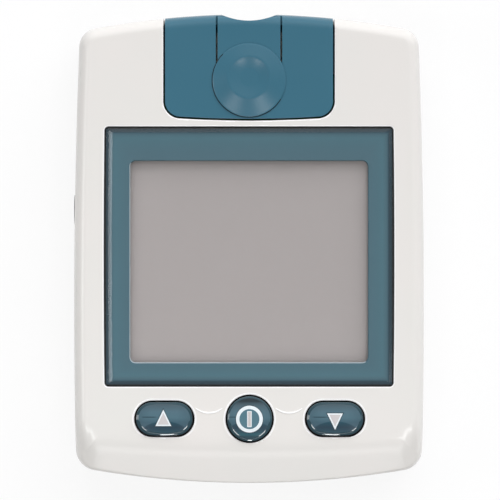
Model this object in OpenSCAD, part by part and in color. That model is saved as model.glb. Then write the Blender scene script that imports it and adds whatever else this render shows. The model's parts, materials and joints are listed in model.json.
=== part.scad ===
// Hand-held blood glucose meter, lying on its back with the display facing up.
// Origin: centre of the back face. +X right, +Y towards the strip port, +Z out of the display.
// The pieces stack up from the battery door to the window, and that stack sets the thickness.

/* [Casing] */
// Width at the widest point of the bowed sides
body_w = 66; // [66:0.5:80]
// Length over the middle of the two arched ends
body_l = 88.4; // [88.4:0.4:106.4]
// Thickness of the side and end walls
wall = 2; // [1.7:0.1:2.4]
// Thickness of the back wall
back_wall = 2.2; // [2.1:0.1:2.6]
// Thickness of the display face
face_wall = 2; // [1.8:0.1:2.4]
// Radius of the long side bows
side_arc_r = 1250; // [800:50:2500]
// Distance of the widest point below the middle of the length
waist_drop = 11; // [0:1:20]
// Radius of the arched end that holds the strip port
top_arc_r = 160; // [120:5:240]
// Radius of the arched end below the keys
bottom_arc_r = 178; // [120:2:240]
// Corner radius beside the strip port, seen from above
top_corner_r = 3.6; // [2.5:0.1:6]
// Corner radius below the keys, seen from above
bottom_corner_r = 4.1; // [2.5:0.1:6]
// Width of the roll-off round the display face
face_edge_r = 2.2; // [1:0.1:3]
// Height of the roll-off round the display face
face_edge_h = 3.2; // [1.5:0.1:4]
// Roll-off radius round the back
back_edge_r = 2.5; // [1:0.1:3]
// Length of the sloping chin below the keys
chin_l = 6.9; // [5:0.1:8]
// Slope of the chin
chin_angle = 20; // [12:1:30]
// Radius of the chin's crease, seen from above
chin_arc_r = 360; // [250:10:600]
// Height of the lip that keys the two shells together
lip_h = 1; // [0.6:0.1:1.4]
// Thickness of that lip
lip_t = 0.95; // [0.7:0.05:1.1]
// Width of the open seam between the shells
seam = 0.15; // [0.1:0.05:0.3]

/* [Window and display] */
// Width of the clear window
window_w = 54.3; // [50:0.1:56]
// Length of the clear window
window_l = 48.6; // [44:0.1:50]
// Thickness of the window
window_t = 1.3; // [1:0.1:1.6]
// Corner radius of the window
window_corner_r = 0.6; // [0.4:0.1:2]
// Distance from the port end to the window
window_from_top = 21.4; // [21.4:0.1:26]
// Height of the window's edge bevel
window_bevel_h = 0.5; // [0.2:0.1:0.7]
// Width of the window's edge bevel
window_bevel_w = 0.95; // [0.5:0.05:1.5]
// Depth of the pocket that the window sits in
window_pocket = 1; // [0.8:0.1:1.2]
// Thickness of the tape that holds the window
tape_t = 0.15; // [0.1:0.05:0.25]
// Width of the frame under the window's sides
window_ledge_w = 3.65; // [2.5:0.05:5]
// Width of the frame under the window's ends
window_ledge_l = 4.3; // [3.5:0.1:6]
// Distance of the display's centre below the window's centre
display_drop = 0.95; // [0:0.05:1.5]
// Distance that the display's glass reaches past the opening, all round
glass_margin = 1.5; // [1:0.1:1.8]
// Thickness of each of the display's two glasses
glass_t = 1.1; // [0.7:0.1:1.1]
// Height of the rubber connector strips between board and glass
strip_h = 2.9; // [2.6:0.1:3.5]
// Width of the rubber connector strips
strip_w = 2.2; // [1.6:0.1:2.4]

/* [Strip port and ejector] */
// Width of the coloured port bezel
bezel_w = 31.8; // [28:0.2:36]
// Length of the port bezel, from the port end
bezel_l = 19.9; // [19.9:0.1:20.8]
// Radius of the bezel's inner corners
bezel_corner_r = 3; // [1.5:0.1:5]
// Radius of the bezel's bowed lower edge
bezel_arc_r = 210; // [120:10:400]
// Thickness of the bezel's top plate
bezel_t = 1.8; // [1.5:0.1:1.8]
// Width of the sliding tongue
tongue_w = 11.95; // [9:0.05:12.4]
// Thickness of the sliding tongue
tongue_t = 1.4; // [1.2:0.1:1.4]
// Diameter of the thumb dish
dish_d = 14; // [12:0.1:14.6]
// Distance from the port end to the dish's centre
dish_from_top = 12.55; // [12.4:0.05:12.6]
// Diameter of the dish's raised middle
dish_boss_d = 7.9; // [5:0.1:9]
// Distance of that middle from the dish's centre, towards the port end
dish_boss_up = 0.6; // [0:0.1:1]
// Height of the dish's rim over the display face
dish_h = 1.1; // [0.9:0.1:1.6]
// Depth of the dish under its rim
dish_depth = 0.65; // [0.4:0.05:0.65]
// Travel of the ejector
ejector_travel = 4; // [2:0.5:4]
// Chord of the finger scallop in the port end
scallop_w = 10.8; // [8:0.1:11.4]
// Depth of the finger scallop
scallop_depth = 1.3; // [0.8:0.1:1.6]
// Width of the test strip's slot
slot_w = 7.4; // [5:0.1:9]
// Height of the test strip's slot
slot_h = 0.9; // [0.7:0.1:1.2]
// Outer diameter of the ejector's return spring
spring_d = 2.6; // [2:0.1:2.8]
// Wire diameter of the return spring
spring_wire = 0.32; // [0.25:0.01:0.4]
// Turns of the return spring
spring_turns = 9; // [6:1:12]

/* [Keys] */
// Distance from the lower end to the key row
keys_from_bottom = 12.2; // [11.5:0.1:13]
// Distance of the side keys from the middle
key_pitch = 16.04; // [15:0.1:18]
// Width of a side key
key_w = 11; // [9:0.1:12]
// Length of a side key
key_l = 6.5; // [5:0.1:7.4]
// Diameter of the round key
power_d = 9; // [7:0.1:10]
// Height of the keys' crown over the display face
key_h = 0.85; // [0.5:0.05:1.2]
// Width of the gap round each key
key_gap = 0.22; // [0.15:0.01:0.35]
// Height of the raised lines that hang between the keys
ridge_h = 0.12; // [0.08:0.02:0.2]
// Width of those lines
ridge_w = 0.34; // [0.26:0.02:0.5]
// Radius of their curve
ridge_r = 4; // [3.5:0.1:6]
// Distance of their lowest point above the middle of the key row
ridge_up = 1.1; // [0.8:0.1:2]
// Width of the flange that keeps a key in
key_flange = 1; // [0.7:0.1:1.3]
// Travel of a key
key_travel = 0.5; // [0.3:0.05:0.6]

/* [Batteries] */
// Diameter of a battery cell
cell_d = 10.5; // [8.3:0.1:13]
// Length of a battery cell with its nub
cell_l = 44.5; // [40:0.5:44.5]
// Clearance round each cell
cell_gap = 0.25; // [0.2:0.05:0.5]
// Gap between the two cells
cell_space = 0.9; // [0.7:0.1:2]
// Distance from the lower end to the battery bay
bay_from_bottom = 6.9; // [6.6:0.1:7.2]
// Room at a cell's sprung end
spring_room = 3.35; // [2.6:0.05:3.4]
// Room at a cell's plain end
plate_room = 1.75; // [1.2:0.05:1.8]
// Thickness of the contact plates
contact_t = 0.3; // [0.2:0.05:0.4]
// Thickness of the walls round the battery bay
bay_wall = 1; // [0.8:0.1:1]
// Thickness of the battery door
door_t = 1.4; // [1.2:0.1:1.5]
// Running clearance round the battery door
door_gap = 0.2; // [0.15:0.05:0.3]
// Height of the door's turned-up end
door_end_h = 4; // [3:0.1:6]

/* [Board, jack and screws] */
// Thickness of the circuit board
board_t = 1.2; // [0.8:0.1:1.6]
// Distance of the jack below the port end
jack_from_top = 36.93; // [34:0.1:40]
// Bore diameter of the data jack
jack_bore_d = 3.6; // [3.5:0.05:3.7]
// Depth of the jack's bore
jack_depth = 12.5; // [10:0.5:14]
// Diameter of the jack's collar
jack_collar_d = 6.4; // [5.6:0.1:6.8]
// Height of the jack's body under the board
jack_h = 5.2; // [4.8:0.1:6]
// Distance that the collar stands out of the side
jack_proud = 0.25; // [0:0.05:0.5]
// Distance of the case screws from the sides
screw_from_side = 4.8; // [4.6:0.1:4.9]
// Distance of the upper case screws from the port end
screw_from_top = 6.7; // [6.5:0.1:8]
// Distance of the lower case screws from the lower end
screw_from_bottom = 5.7; // [5.4:0.1:6]
// Core diameter of a case screw
screw_d = 1.7; // [1.4:0.1:2]
// Head diameter of a case screw
screw_head_d = 3.4; // [3:0.1:3.6]
// Depth of a case screw's recess in the back
screw_recess = 6; // [4:0.5:7]

/* [Hidden] */
$fn = 48;

eps = 0.01;        // thickness of a slice in a loft, and the overshoot of a cut
cut = 1;           // overshoot of the larger cuts
fit = 0.1;         // gap between fixed pieces that sit in one another
float_gap = 0.2;   // gap between pieces that slide past one another
top_y = body_l / 2;
bottom_y = -body_l / 2;

// The stack, from the back up
cell_z = door_t + cell_gap + cell_d / 2;
bay_roof_z = cell_z + cell_d / 2 + cell_gap;
board_z = bay_roof_z + bay_wall + cell_gap;
board_top = board_z + board_t;
glass_z = board_top + strip_h;
face_under = glass_z + glass_t + fit;
face_z = face_under + face_wall;
jack_z = board_z - jack_h / 2;
part_z = jack_z;
pocket_z = face_z - window_pocket;

// The opening under the window, and the display's glass behind it
aperture_w = window_w - 2 * window_ledge_w;
aperture_l = window_l - 2 * window_ledge_l;
glass_w = aperture_w + 2 * glass_margin;
glass_l = aperture_l + 2 * glass_margin;

// Places along the length
window_y = top_y - window_from_top - window_l / 2;
display_y = window_y - display_drop;
bezel_y = top_y - bezel_l;
dish_y = top_y - dish_from_top;
keys_y = bottom_y + keys_from_bottom;
chin_y = bottom_y + chin_l;
jack_y = top_y - jack_from_top;
bay_bottom_wall_y = bottom_y + bay_from_bottom;
cell_lower_y = bay_bottom_wall_y + bay_wall + cell_gap + cell_d / 2;
cell_pitch = cell_d + cell_space;
cell_upper_y = cell_lower_y + cell_pitch;
bay_top_y = cell_upper_y + cell_d / 2 + cell_gap;
cells = [[cell_upper_y, 1], [cell_lower_y, -1]];

// The battery bay
bay_l = cell_l + spring_room + plate_room;
cell_shift = (spring_room - plate_room) / 2;
trough_r = cell_d / 2 + cell_gap;

// The door, which slides out of the lower end on two rails that hook over lips in the back wall.
// It comes off once it has moved by its own length.
door_w = bay_l + 0.2;
door_top_y = bay_top_y + bay_wall + 1;
door_end_l = 4.4;
lip_w = 0.8;
rail_t = 0.7;
rail_x = door_w / 2 - lip_w - door_gap;
rail_z = back_wall + door_gap;
grip_count = 6;
grip_pitch = 1.5;
grip_w = 15;
grip_depth = 0.4;
grip_from_end = 8;

// Screws
screw_x = body_w / 2 - screw_from_side;
case_screw_places = [for (x = [-screw_x, screw_x])
    for (y = [top_y - screw_from_top, bottom_y + screw_from_bottom]) [x, y]];
boss_r = 2.6;
pilot_gap = 0.05;
screw_head_h = 1.4;
screw_tip_z = face_under - 2.2;
board_boss_r = 1.7;
board_screw_x = [bezel_w / 2 + 4.4 + board_boss_r, bay_l / 2 + bay_wall + 0.15 + board_boss_r];
board_screw_places = [for (side = [-1, 1])
    each [[side * board_screw_x[0], bezel_y + 1.4], [side * board_screw_x[1], keys_y + 3]]];
board_screw_r = 0.8;
board_head_r = 1.65;
board_head_h = 1;

// The board's outline
board_half_w = body_w / 2 - wall - 1.7;
board_top_y = top_y - 11.2;
board_tab_y = top_y - 4.6;
board_tab_w = 27;
board_low_y = keys_y - key_l / 2 - 2;
board_low_w = 48.4;
board_step_y = keys_y - 1.2;

// Strip port and ejector
scallop_r = (pow(scallop_w / 2, 2) + pow(scallop_depth, 2)) / (2 * scallop_depth);
scallop_y = top_y - scallop_depth + scallop_r;
port_wall = 1.6;
tongue_under = face_z - tongue_t;
floor_top = tongue_under - float_gap;
floor_t = 1.2;
floor_under = floor_top - floor_t;
channel_w = tongue_w + 2 * float_gap;
carrier_t = 0.8;
carrier_top = floor_under - fit;
carrier_under = carrier_top - carrier_t;
connector_top = carrier_under - float_gap;
connector_h = connector_top - board_top;
slot_z = board_top + connector_h / 2;
stem_w = 3.2;
stem_l = 3;
stem_y = dish_y - stem_l / 2;
tongue_low_y = dish_y - 2.6;
connector_w = 12.4;
connector_y = bezel_y + 1.8;
connector_end_y = top_y - scallop_depth - port_wall - 0.4;
pusher_y = connector_y + 0.5;
pusher_t = 1;
pusher_w = 1.6;
spring_x = 9.8;
spring_z = board_top + fit + spring_d / 2 + 0.1;
spring_seat_y = stem_y + 0.4;
spring_seat_t = 1.6;
spring_end_y = top_y - port_wall - 0.5;
contact_count = 5;
contact_pitch = 1.5;

// Keys and mat
flange_t = 1.3;
key_under = face_under - flange_t - float_gap;
key_hollow = 1.6;
mat_t = 0.8;
pill_t = 0.3;
boot_gap = 0.1;
boot_top = key_under - boot_gap;
key_places = [[-key_pitch, key_w - key_l], [0, 0], [key_pitch, key_w - key_l]];

// Shared forms --------------------------------------------------------------

// The upper one of the two points where two circles meet, or the lower one with c1 and c2 swapped
function circles_meet(c1, r1, c2, r2) = let (
        d = norm(c2 - c1),
        u = (c2 - c1) / d,
        along = (r1 * r1 - r2 * r2 + d * d) / (2 * d))
    c1 + along * u + sqrt(r1 * r1 - along * along) * [-u[1], u[0]];

function heading(from, to) = atan2(to[1] - from[1], to[0] - from[0]);

function arc(c, r, a1, a2, n) = [for (i = [1 : n]) let (a = a1 + (a2 - a1) * i / n) c + r * [cos(a), sin(a)]];

// Plan of the casing, pulled in by inset: a side bow and two arched ends, joined by tangent corner arcs
module casing_plan(inset = 0) {
    side_c = [body_w / 2 - side_arc_r, -waist_drop];
    top_c = [0, top_y - top_arc_r];
    bottom_c = [0, bottom_y + bottom_arc_r];
    top_corner = circles_meet(side_c, side_arc_r - top_corner_r, top_c, top_arc_r - top_corner_r);
    bottom_corner = circles_meet(bottom_c, bottom_arc_r - bottom_corner_r, side_c, side_arc_r - bottom_corner_r);
    top_a = heading(top_c, top_corner);
    bottom_a = heading(bottom_c, bottom_corner);
    high_a = heading(side_c, top_corner);
    low_a = heading(side_c, bottom_corner);
    right = concat(
        arc(top_c, top_arc_r - inset, 90, top_a, 6),
        arc(top_corner, top_corner_r - inset, top_a, high_a, 7),
        arc(side_c, side_arc_r - inset, high_a, low_a, 7),
        arc(bottom_corner, bottom_corner_r - inset, low_a, bottom_a, 7),
        arc(bottom_c, bottom_arc_r - inset, bottom_a, -90, 6));
    left = [for (i = [len(right) - 2 : -1 : 0]) [-right[i][0], right[i][1]]];
    polygon(concat([[0, top_y - inset]], right, left));
}

// One slice of the display half, cropped where the chin slopes away
module face_slice(z, inset, skin) {
    translate([0, 0, z - eps]) linear_extrude(eps) intersection() {
        casing_plan(inset);
        translate([0, chin_y + chin_arc_r])
            circle(r = chin_arc_r + (face_z - z) / tan(chin_angle) - skin / sin(chin_angle), $fn = 480);
    }
}

// The display half of the casing, pulled in by skin all round: straight walls, then a lofted roll-off
module face_loft(skin = 0, low_z = part_z + seam / 2) {
    roll_w = max(face_edge_r - skin, 0.5);
    roll_h = max(face_edge_h - skin, 0.5);
    roof_z = face_z - (skin > 0 ? face_wall : 0);
    chin_end_z = face_z - (chin_l - skin + skin / sin(chin_angle)) * tan(chin_angle);
    wall_z = min(roof_z - roll_h, chin_end_z);
    hull() {
        translate([0, 0, low_z]) linear_extrude(wall_z - low_z) casing_plan(skin);
        for (a = [0 : 22.5 : 67.5])
            face_slice(roof_z - roll_h * (1 - cos(a)), skin + roll_w * (1 - sin(a)), skin);
    }
}

// The back half of the casing, pulled in by skin all round
module back_loft(skin = 0, high_z = part_z - seam / 2) {
    roll_r = max(back_edge_r - skin, 0.5);
    floor_z = skin > 0 ? back_wall : 0;
    hull() {
        translate([0, 0, floor_z + roll_r]) linear_extrude(high_z - floor_z - roll_r) casing_plan(skin);
        for (a = [0 : 22.5 : 67.5])
            translate([0, 0, floor_z + roll_r * (1 - cos(a))])
                linear_extrude(eps) casing_plan(skin + roll_r * (1 - sin(a)));
    }
}

module box(x, y, z) {
    translate([x[0], y[0], z[0]]) cube([x[1] - x[0], y[1] - y[0], z[1] - z[0]]);
}

module rounded_rect(w, l, r) {
    hull() for (x = [-1, 1]) for (y = [-1, 1])
        translate([x * (w / 2 - r), y * (l / 2 - r)]) circle(r = r, $fn = 32);
}

module racetrack(straight, r) {
    if (straight > 0) square([straight, 2 * r], center = true);
    for (x = straight > 0 ? [-straight / 2, straight / 2] : [0]) translate([x, 0]) circle(r = r);
}

// A half profile carried round a racetrack: two revolved ends joined by a straight run
module racetrack_sweep(straight) {
    if (straight > 0) {
        for (side = [-1, 1]) translate([side * straight / 2, 0, 0])
            rotate([0, 0, side * 90 + 180]) rotate_extrude(angle = 180) children();
        for (turn = [0, 180]) rotate([90, 0, 90 + turn])
            linear_extrude(height = straight, center = true) children();
    } else {
        rotate_extrude() children();
    }
}

// A coil of round wire along +Z, from radius r1 to r2
module coil(r1, r2, length, turns, wire, sides = 6, steps = 14) {
    count = ceil(turns * steps);
    rise = (length - wire) / count;
    function wire_point(i, k) = let (
            turn = 360 * i / steps,
            r = r1 + (r2 - r1) * i / count + wire / 2 * cos(360 * k / sides))
        [r * cos(turn), r * sin(turn), wire / 2 + rise * i + wire / 2 * sin(360 * k / sides)];
    points = [for (i = [0 : count]) for (k = [0 : sides - 1]) wire_point(i, k)];
    skin = [for (i = [0 : count - 1]) for (k = [0 : sides - 1])
        let (a = i * sides + k, b = i * sides + (k + 1) % sides) each [[a, b + sides, a + sides], [a, b, b + sides]]];
    polyhedron(points, concat(skin, [[for (k = [sides - 1 : -1 : 0]) k]],
        [[for (k = [0 : sides - 1]) count * sides + k]]));
}

module scallop(low_z = -cut, high_z = face_z + cut) {
    translate([0, scallop_y, low_z]) cylinder(r = scallop_r, h = high_z - low_z, $fn = 96);
}

// Wall that follows the scallop on the inside
module scallop_backing(low_z, high_z) {
    translate([0, 0, low_z]) linear_extrude(high_z - low_z) intersection() {
        casing_plan(eps);
        translate([0, scallop_y]) circle(r = scallop_r + port_wall, $fn = 96);
    }
}

// The jack's hole through the left wall, shared by both shells
module jack_hole() {
    translate([-body_w, jack_y, jack_z]) rotate([0, 90, 0])
        cylinder(d = jack_collar_d + 2 * fit, h = body_w / 2 + wall + 2);
}

// Casing --------------------------------------------------------------------

module bezel_plan(grow = 0) {
    offset(delta = grow) offset(r = bezel_corner_r) offset(delta = -bezel_corner_r) intersection() {
        translate([-bezel_w / 2, 0]) square([bezel_w, body_l]);
        translate([0, bezel_y + bezel_arc_r]) circle(r = bezel_arc_r, $fn = 240);
    }
}

module case_bosses(r, low_z, high_z) {
    for (p = case_screw_places) translate([p[0], p[1], low_z]) cylinder(r = r, h = high_z - low_z);
}

module board_bosses(r, low_z, high_z) {
    for (p = board_screw_places) translate([p[0], p[1], low_z]) cylinder(r = r, h = high_z - low_z);
}

module key_openings() {
    chamfer = 0.35;
    for (k = key_places) translate([k[0], keys_y, 0]) {
        r = (k[1] > 0 ? key_l : power_d) / 2 + key_gap;
        translate([0, 0, face_under - cut]) linear_extrude(face_wall + 2 * cut) racetrack(k[1], r);
        racetrack_sweep(k[1])
            polygon([[0, face_z - chamfer], [r, face_z - chamfer], [r + chamfer + eps, face_z + eps],
                [0, face_z + eps]]);
    }
}

// A thin raised line hangs between the round key and each side key, clear of both openings
module key_ridges() {
    left = power_d / 2;
    right = key_pitch - key_w / 2;
    reach = asin(((right - left) / 2 - 0.85) / ridge_r);
    for (side = [-1, 1])
        translate([side * (left + right) / 2, keys_y + ridge_up + ridge_r, face_z - 0.5])
            linear_extrude(0.5 + ridge_h) intersection() {
                difference() {
                    circle(r = ridge_r + ridge_w / 2);
                    circle(r = ridge_r - ridge_w / 2);
                }
                polygon([[0, 0], 3 * ridge_r * [-sin(reach), -cos(reach)], 3 * ridge_r * [sin(reach), -cos(reach)]]);
            }
}

module front_cover() {
    color("#e8e6e2") difference() {
        union() {
            face_loft();
            key_ridges();
            translate([0, 0, part_z - lip_h]) linear_extrude(lip_h + 1) casing_plan(wall - lip_t);
        }
        difference() {
            face_loft(wall, part_z - lip_h - cut);
            case_bosses(boss_r, part_z, face_z);
            board_bosses(board_boss_r, board_top, face_z);
        }
        case_bosses(screw_d / 2 + pilot_gap, part_z - cut, screw_tip_z + 0.6);
        board_bosses(board_screw_r + pilot_gap, board_top - cut, face_under - 0.6);
        translate([0, 0, part_z - lip_h - cut]) linear_extrude(body_l) bezel_plan(fit + 0.02);
        translate([0, window_y, pocket_z]) linear_extrude(window_pocket + cut)
            rounded_rect(window_w + 2 * fit, window_l + 2 * fit, window_corner_r);
        translate([0, display_y, face_under - cut]) linear_extrude(face_wall + cut)
            rounded_rect(aperture_w, aperture_l, 1.5);
        key_openings();
        jack_hole();
    }
}

module battery_trough() {
    for (c = cells)
        translate([-bay_l / 2, c[0], cell_z]) rotate([0, 90, 0]) cylinder(r = trough_r, h = bay_l);
    box([-bay_l / 2, bay_l / 2], [cell_lower_y - trough_r - fit, cell_upper_y + trough_r + fit],
        [back_wall, cell_z]);
    // ends where the contact plates stand
    for (side = [-1, 1]) translate([side * (bay_l / 2 - 0.3), (cell_lower_y + cell_upper_y) / 2, cell_z])
        cube([0.6, cell_pitch + 8.8, 7.2], center = true);
}

// Slots through the bay's roof for the solder tails of the contacts
module tail_slots() {
    for (c = cells) for (side = [-1, 1])
        translate([side * (bay_l / 2 - 0.5), c[0], bay_roof_z]) cube([1, 3, 6], center = true);
}

// Everything that the battery door slides in, open towards the lower end
module door_way() {
    half = door_w / 2 + door_gap;
    inner = door_w / 2 - lip_w;
    box([-half, half], [bottom_y - cut, door_top_y + door_gap], [-cut, door_t + door_gap - 0.05]);
    box([-inner, inner], [bottom_y - cut, bay_top_y + fit], [-cut, back_wall + eps]);
    box([-half, half], [bottom_y - cut, bottom_y + door_end_l], [-cut, door_end_h + door_gap]);
    // passages for the rails through the bay's lower wall
    for (side = [-1, 1])
        translate([side * (rail_x - rail_t / 2 + lip_w / 2), bay_bottom_wall_y + bay_wall / 2, rail_z + 0.4])
            cube([rail_t + lip_w + 2 * door_gap, bay_wall + 2 * eps, rail_t + 0.8 + 2 * door_gap], center = true);
}

module rear_cover() {
    color("#e8e6e2") difference() {
        union() {
            difference() {
                back_loft();
                back_loft(wall, part_z + cut);
            }
            scallop_backing(back_edge_r, part_z - lip_h - seam);
            case_bosses(boss_r, back_wall - cut, part_z - fit);
            box([-bay_l / 2 - bay_wall, bay_l / 2 + bay_wall],
                [bay_bottom_wall_y, bay_top_y + bay_wall], [back_wall - eps, bay_roof_z + bay_wall]);
        }
        battery_trough();
        tail_slots();
        door_way();
        case_bosses(screw_head_d / 2 + float_gap, -cut, screw_recess);
        case_bosses(screw_d / 2 + float_gap, screw_recess - cut, part_z);
        // rebate that the front cover's lip drops into
        translate([0, 0, part_z - lip_h - fit]) linear_extrude(lip_h + cut) difference() {
            casing_plan(wall - lip_t - fit);
            casing_plan(wall + eps);
        }
        jack_hole();
        scallop();
    }
}

module battery_door() {
    color("#e2e0dc") difference() {
        union() {
            intersection() {
                back_loft();
                union() {
                    box([-door_w / 2, door_w / 2], [bottom_y - cut, door_top_y], [-cut, door_t]);
                    // end turned up to close the lower end of the casing
                    difference() {
                        box([-door_w / 2, door_w / 2], [bottom_y - cut, bottom_y + door_end_l - door_gap],
                            [-cut, door_end_h]);
                        translate([0, 0, door_t]) linear_extrude(door_end_h) casing_plan(wall);
                    }
                }
            }
            for (side = [-1, 1]) {
                translate([side * (rail_x - rail_t / 2), 0, 0])
                    box([-rail_t / 2, rail_t / 2], [bottom_y + door_end_l - 1, bay_top_y - door_gap],
                        [door_t - eps, rail_z + rail_t]);
                translate([side * (rail_x + (lip_w - fit) / 2 - rail_t / 2), 0, 0])
                    box([-(rail_t + lip_w - fit) / 2, (rail_t + lip_w - fit) / 2],
                        [bottom_y + door_end_l - 1, bay_top_y - door_gap], [rail_z, rail_z + rail_t]);
            }
        }
        for (i = [0 : grip_count - 1])
            translate([0, bottom_y + grip_from_end + i * grip_pitch, 0]) rotate([0, 90, 0])
                cylinder(r = grip_depth, h = grip_w, center = true);
    }
}

module port_bezel() {
    rim = 1.2;
    color("#42708a") difference() {
        union() {
            intersection() {
                face_loft(0, part_z + seam / 2);
                union() {
                    translate([0, 0, face_z - bezel_t]) linear_extrude(bezel_t + cut) bezel_plan();
                    translate([0, 0, part_z]) linear_extrude(face_z) difference() {
                        bezel_plan();
                        casing_plan(port_wall);
                    }
                    scallop_backing(part_z, face_z);
                }
            }
            // flange that holds the bezel behind the front cover
            translate([0, 0, floor_under]) linear_extrude(face_under - fit - floor_under) difference() {
                intersection() {
                    bezel_plan(rim);
                    casing_plan(wall + max(face_edge_r - wall, 0.5) + fit);
                }
                bezel_plan(-rim);
            }
            translate([0, 0, face_under - fit - eps])
                linear_extrude(face_z - bezel_t - face_under + fit + 2 * eps) difference() {
                    intersection() {
                        bezel_plan();
                        casing_plan(port_wall / 2);
                    }
                    bezel_plan(-rim);
                }
            // channel that the tongue slides in
            box([-channel_w / 2 - rim, channel_w / 2 + rim],
                [bezel_y + 1, top_y - scallop_depth - port_wall + 0.4], [floor_under, face_z - bezel_t + eps]);
        }
        box([-channel_w / 2, channel_w / 2], [tongue_low_y - float_gap, top_y + cut], [floor_top, face_z + cut]);
        box([-stem_w / 2 - float_gap, stem_w / 2 + float_gap],
            [stem_y - float_gap, stem_y + stem_l + ejector_travel + float_gap], [floor_under - cut, floor_top + cut]);
        scallop();
        strip_mouth();
    }
}

// Slot for the test strip with a funnel that guides it in
module strip_mouth() {
    funnel = 0.8;
    wall_y = top_y - scallop_depth;
    rotate([90, 0, 90]) linear_extrude(height = slot_w, center = true)
        polygon([[wall_y - port_wall - 3, slot_z - slot_h / 2], [wall_y - funnel, slot_z - slot_h / 2],
            [wall_y + cut, slot_z - slot_h / 2 - funnel], [wall_y + cut, slot_z + slot_h / 2 + funnel],
            [wall_y - funnel, slot_z + slot_h / 2], [wall_y - port_wall - 3, slot_z + slot_h / 2]]);
}

// Ejector -------------------------------------------------------------------

module ejector_button() {
    dish_r = dish_d / 2;
    boss = dish_boss_d / 2;
    well_r = boss + dish_boss_up + 0.2;
    rim_z = face_z + dish_h;
    well_z = rim_z - dish_depth;
    under_z = face_z + 0.15;
    color("#3f6d86") {
        difference() {
            intersection() {
                face_loft();
                box([-tongue_w / 2, tongue_w / 2], [tongue_low_y, top_y + cut],
                    [tongue_under, face_z + cut]);
            }
            scallop();
        }
        // neck between tongue and dish, and the stem that reaches through the channel floor
        intersection() {
            translate([0, dish_y, face_z - 0.4]) cylinder(r = dish_r - 1.7, h = 0.4 + (under_z - face_z) + 0.2);
            box([-tongue_w / 2, tongue_w / 2], [tongue_low_y, top_y], [face_z - cut, face_z + cut]);
        }
        box([-stem_w / 2, stem_w / 2], [stem_y, stem_y + stem_l], [carrier_top + eps, tongue_under + eps]);
        // thumb dish: a round well with a flat-topped dome in it
        translate([0, dish_y, 0]) rotate_extrude($fn = 96)
            polygon([[0, under_z], [dish_r - 0.25, under_z], [dish_r, under_z + 0.25], [dish_r, rim_z - 0.15],
                [dish_r - 0.15, rim_z], [dish_r - 0.35, rim_z],
                for (i = [0 : 6]) let (t = i / 6) [dish_r - 0.4 - t * (dish_r - 0.4 - well_r),
                    rim_z - 0.05 - (dish_depth - 0.05) * sin(90 * t)],
                [0, well_z]]);
        translate([0, dish_y + dish_boss_up, 0]) rotate_extrude()
            polygon([[0, under_z + 0.1], [boss, under_z + 0.1], [boss, well_z + 0.05],
                for (i = [0 : 5]) let (t = i / 5) [(boss - 0.15) * (1 - t), well_z + 0.1 + 0.25 * sin(90 * t)]]);
    }
}

module ejector_carrier() {
    arm_x = spring_x + spring_d / 2 + 0.3;
    color("#d9d8d2") difference() {
        union() {
            box([-3.6, 3.6], [pusher_y, stem_y + stem_l + 0.8], [carrier_under, carrier_top]);
            box([0, arm_x], [spring_seat_y - spring_seat_t, spring_seat_y], [carrier_under, carrier_top]);
            box([connector_w / 2 + 0.5, arm_x], [spring_seat_y - spring_seat_t, spring_seat_y],
                [board_top + float_gap, carrier_top]);
            // finger that pushes the strip out
            box([-pusher_w / 2, pusher_w / 2], [pusher_y, pusher_y + pusher_t],
                [slot_z - slot_h / 2 + 0.1, carrier_top]);
            translate([spring_x, spring_seat_y - eps, spring_z]) rotate([-90, 0, 0])
                cylinder(r = spring_d / 2 - spring_wire - fit, h = 1.8);
        }
    }
}

module ejector_spring() {
    color("silver") translate([spring_x, spring_seat_y + eps, spring_z]) rotate([-90, 0, 0])
        coil(spring_d / 2 - spring_wire / 2, spring_d / 2 - spring_wire / 2,
            spring_end_y - spring_seat_y - 2 * eps, spring_turns, spring_wire, 5, 12);
}

// Display -------------------------------------------------------------------

module display_window() {
    low_z = pocket_z + tape_t;
    color("#4f6f7c", 0.6) translate([0, window_y, 0]) {
        translate([0, 0, low_z]) linear_extrude(window_t - window_bevel_h)
            rounded_rect(window_w, window_l, window_corner_r);
        hull() {
            translate([0, 0, low_z + window_t - window_bevel_h - eps]) linear_extrude(eps)
                rounded_rect(window_w, window_l, window_corner_r);
            translate([0, 0, low_z + window_t - eps]) linear_extrude(eps)
                rounded_rect(window_w - 2 * window_bevel_w, window_l - 2 * window_bevel_w, window_corner_r / 2);
        }
    }
}

module window_tape() {
    inset = 0.6;
    color("#303030") translate([0, 0, pocket_z]) linear_extrude(tape_t) difference() {
        translate([0, window_y]) rounded_rect(window_w - inset, window_l - inset, window_corner_r);
        translate([0, display_y]) rounded_rect(aperture_w + inset, aperture_l + inset, 1.8);
    }
}

// Front glass with the contact ledges, over a shorter rear glass
module lcd_panel() {
    ledge = strip_w + 0.8;
    color("#a8a39f") translate([0, display_y, 0]) {
        box([-glass_w / 2, glass_w / 2], [-glass_l / 2, glass_l / 2], [glass_z, glass_z + glass_t]);
        box([-glass_w / 2 + 0.6, glass_w / 2 - 0.6], [ledge - glass_l / 2, glass_l / 2 - ledge],
            [glass_z - glass_t, glass_z + eps]);
    }
}

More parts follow.
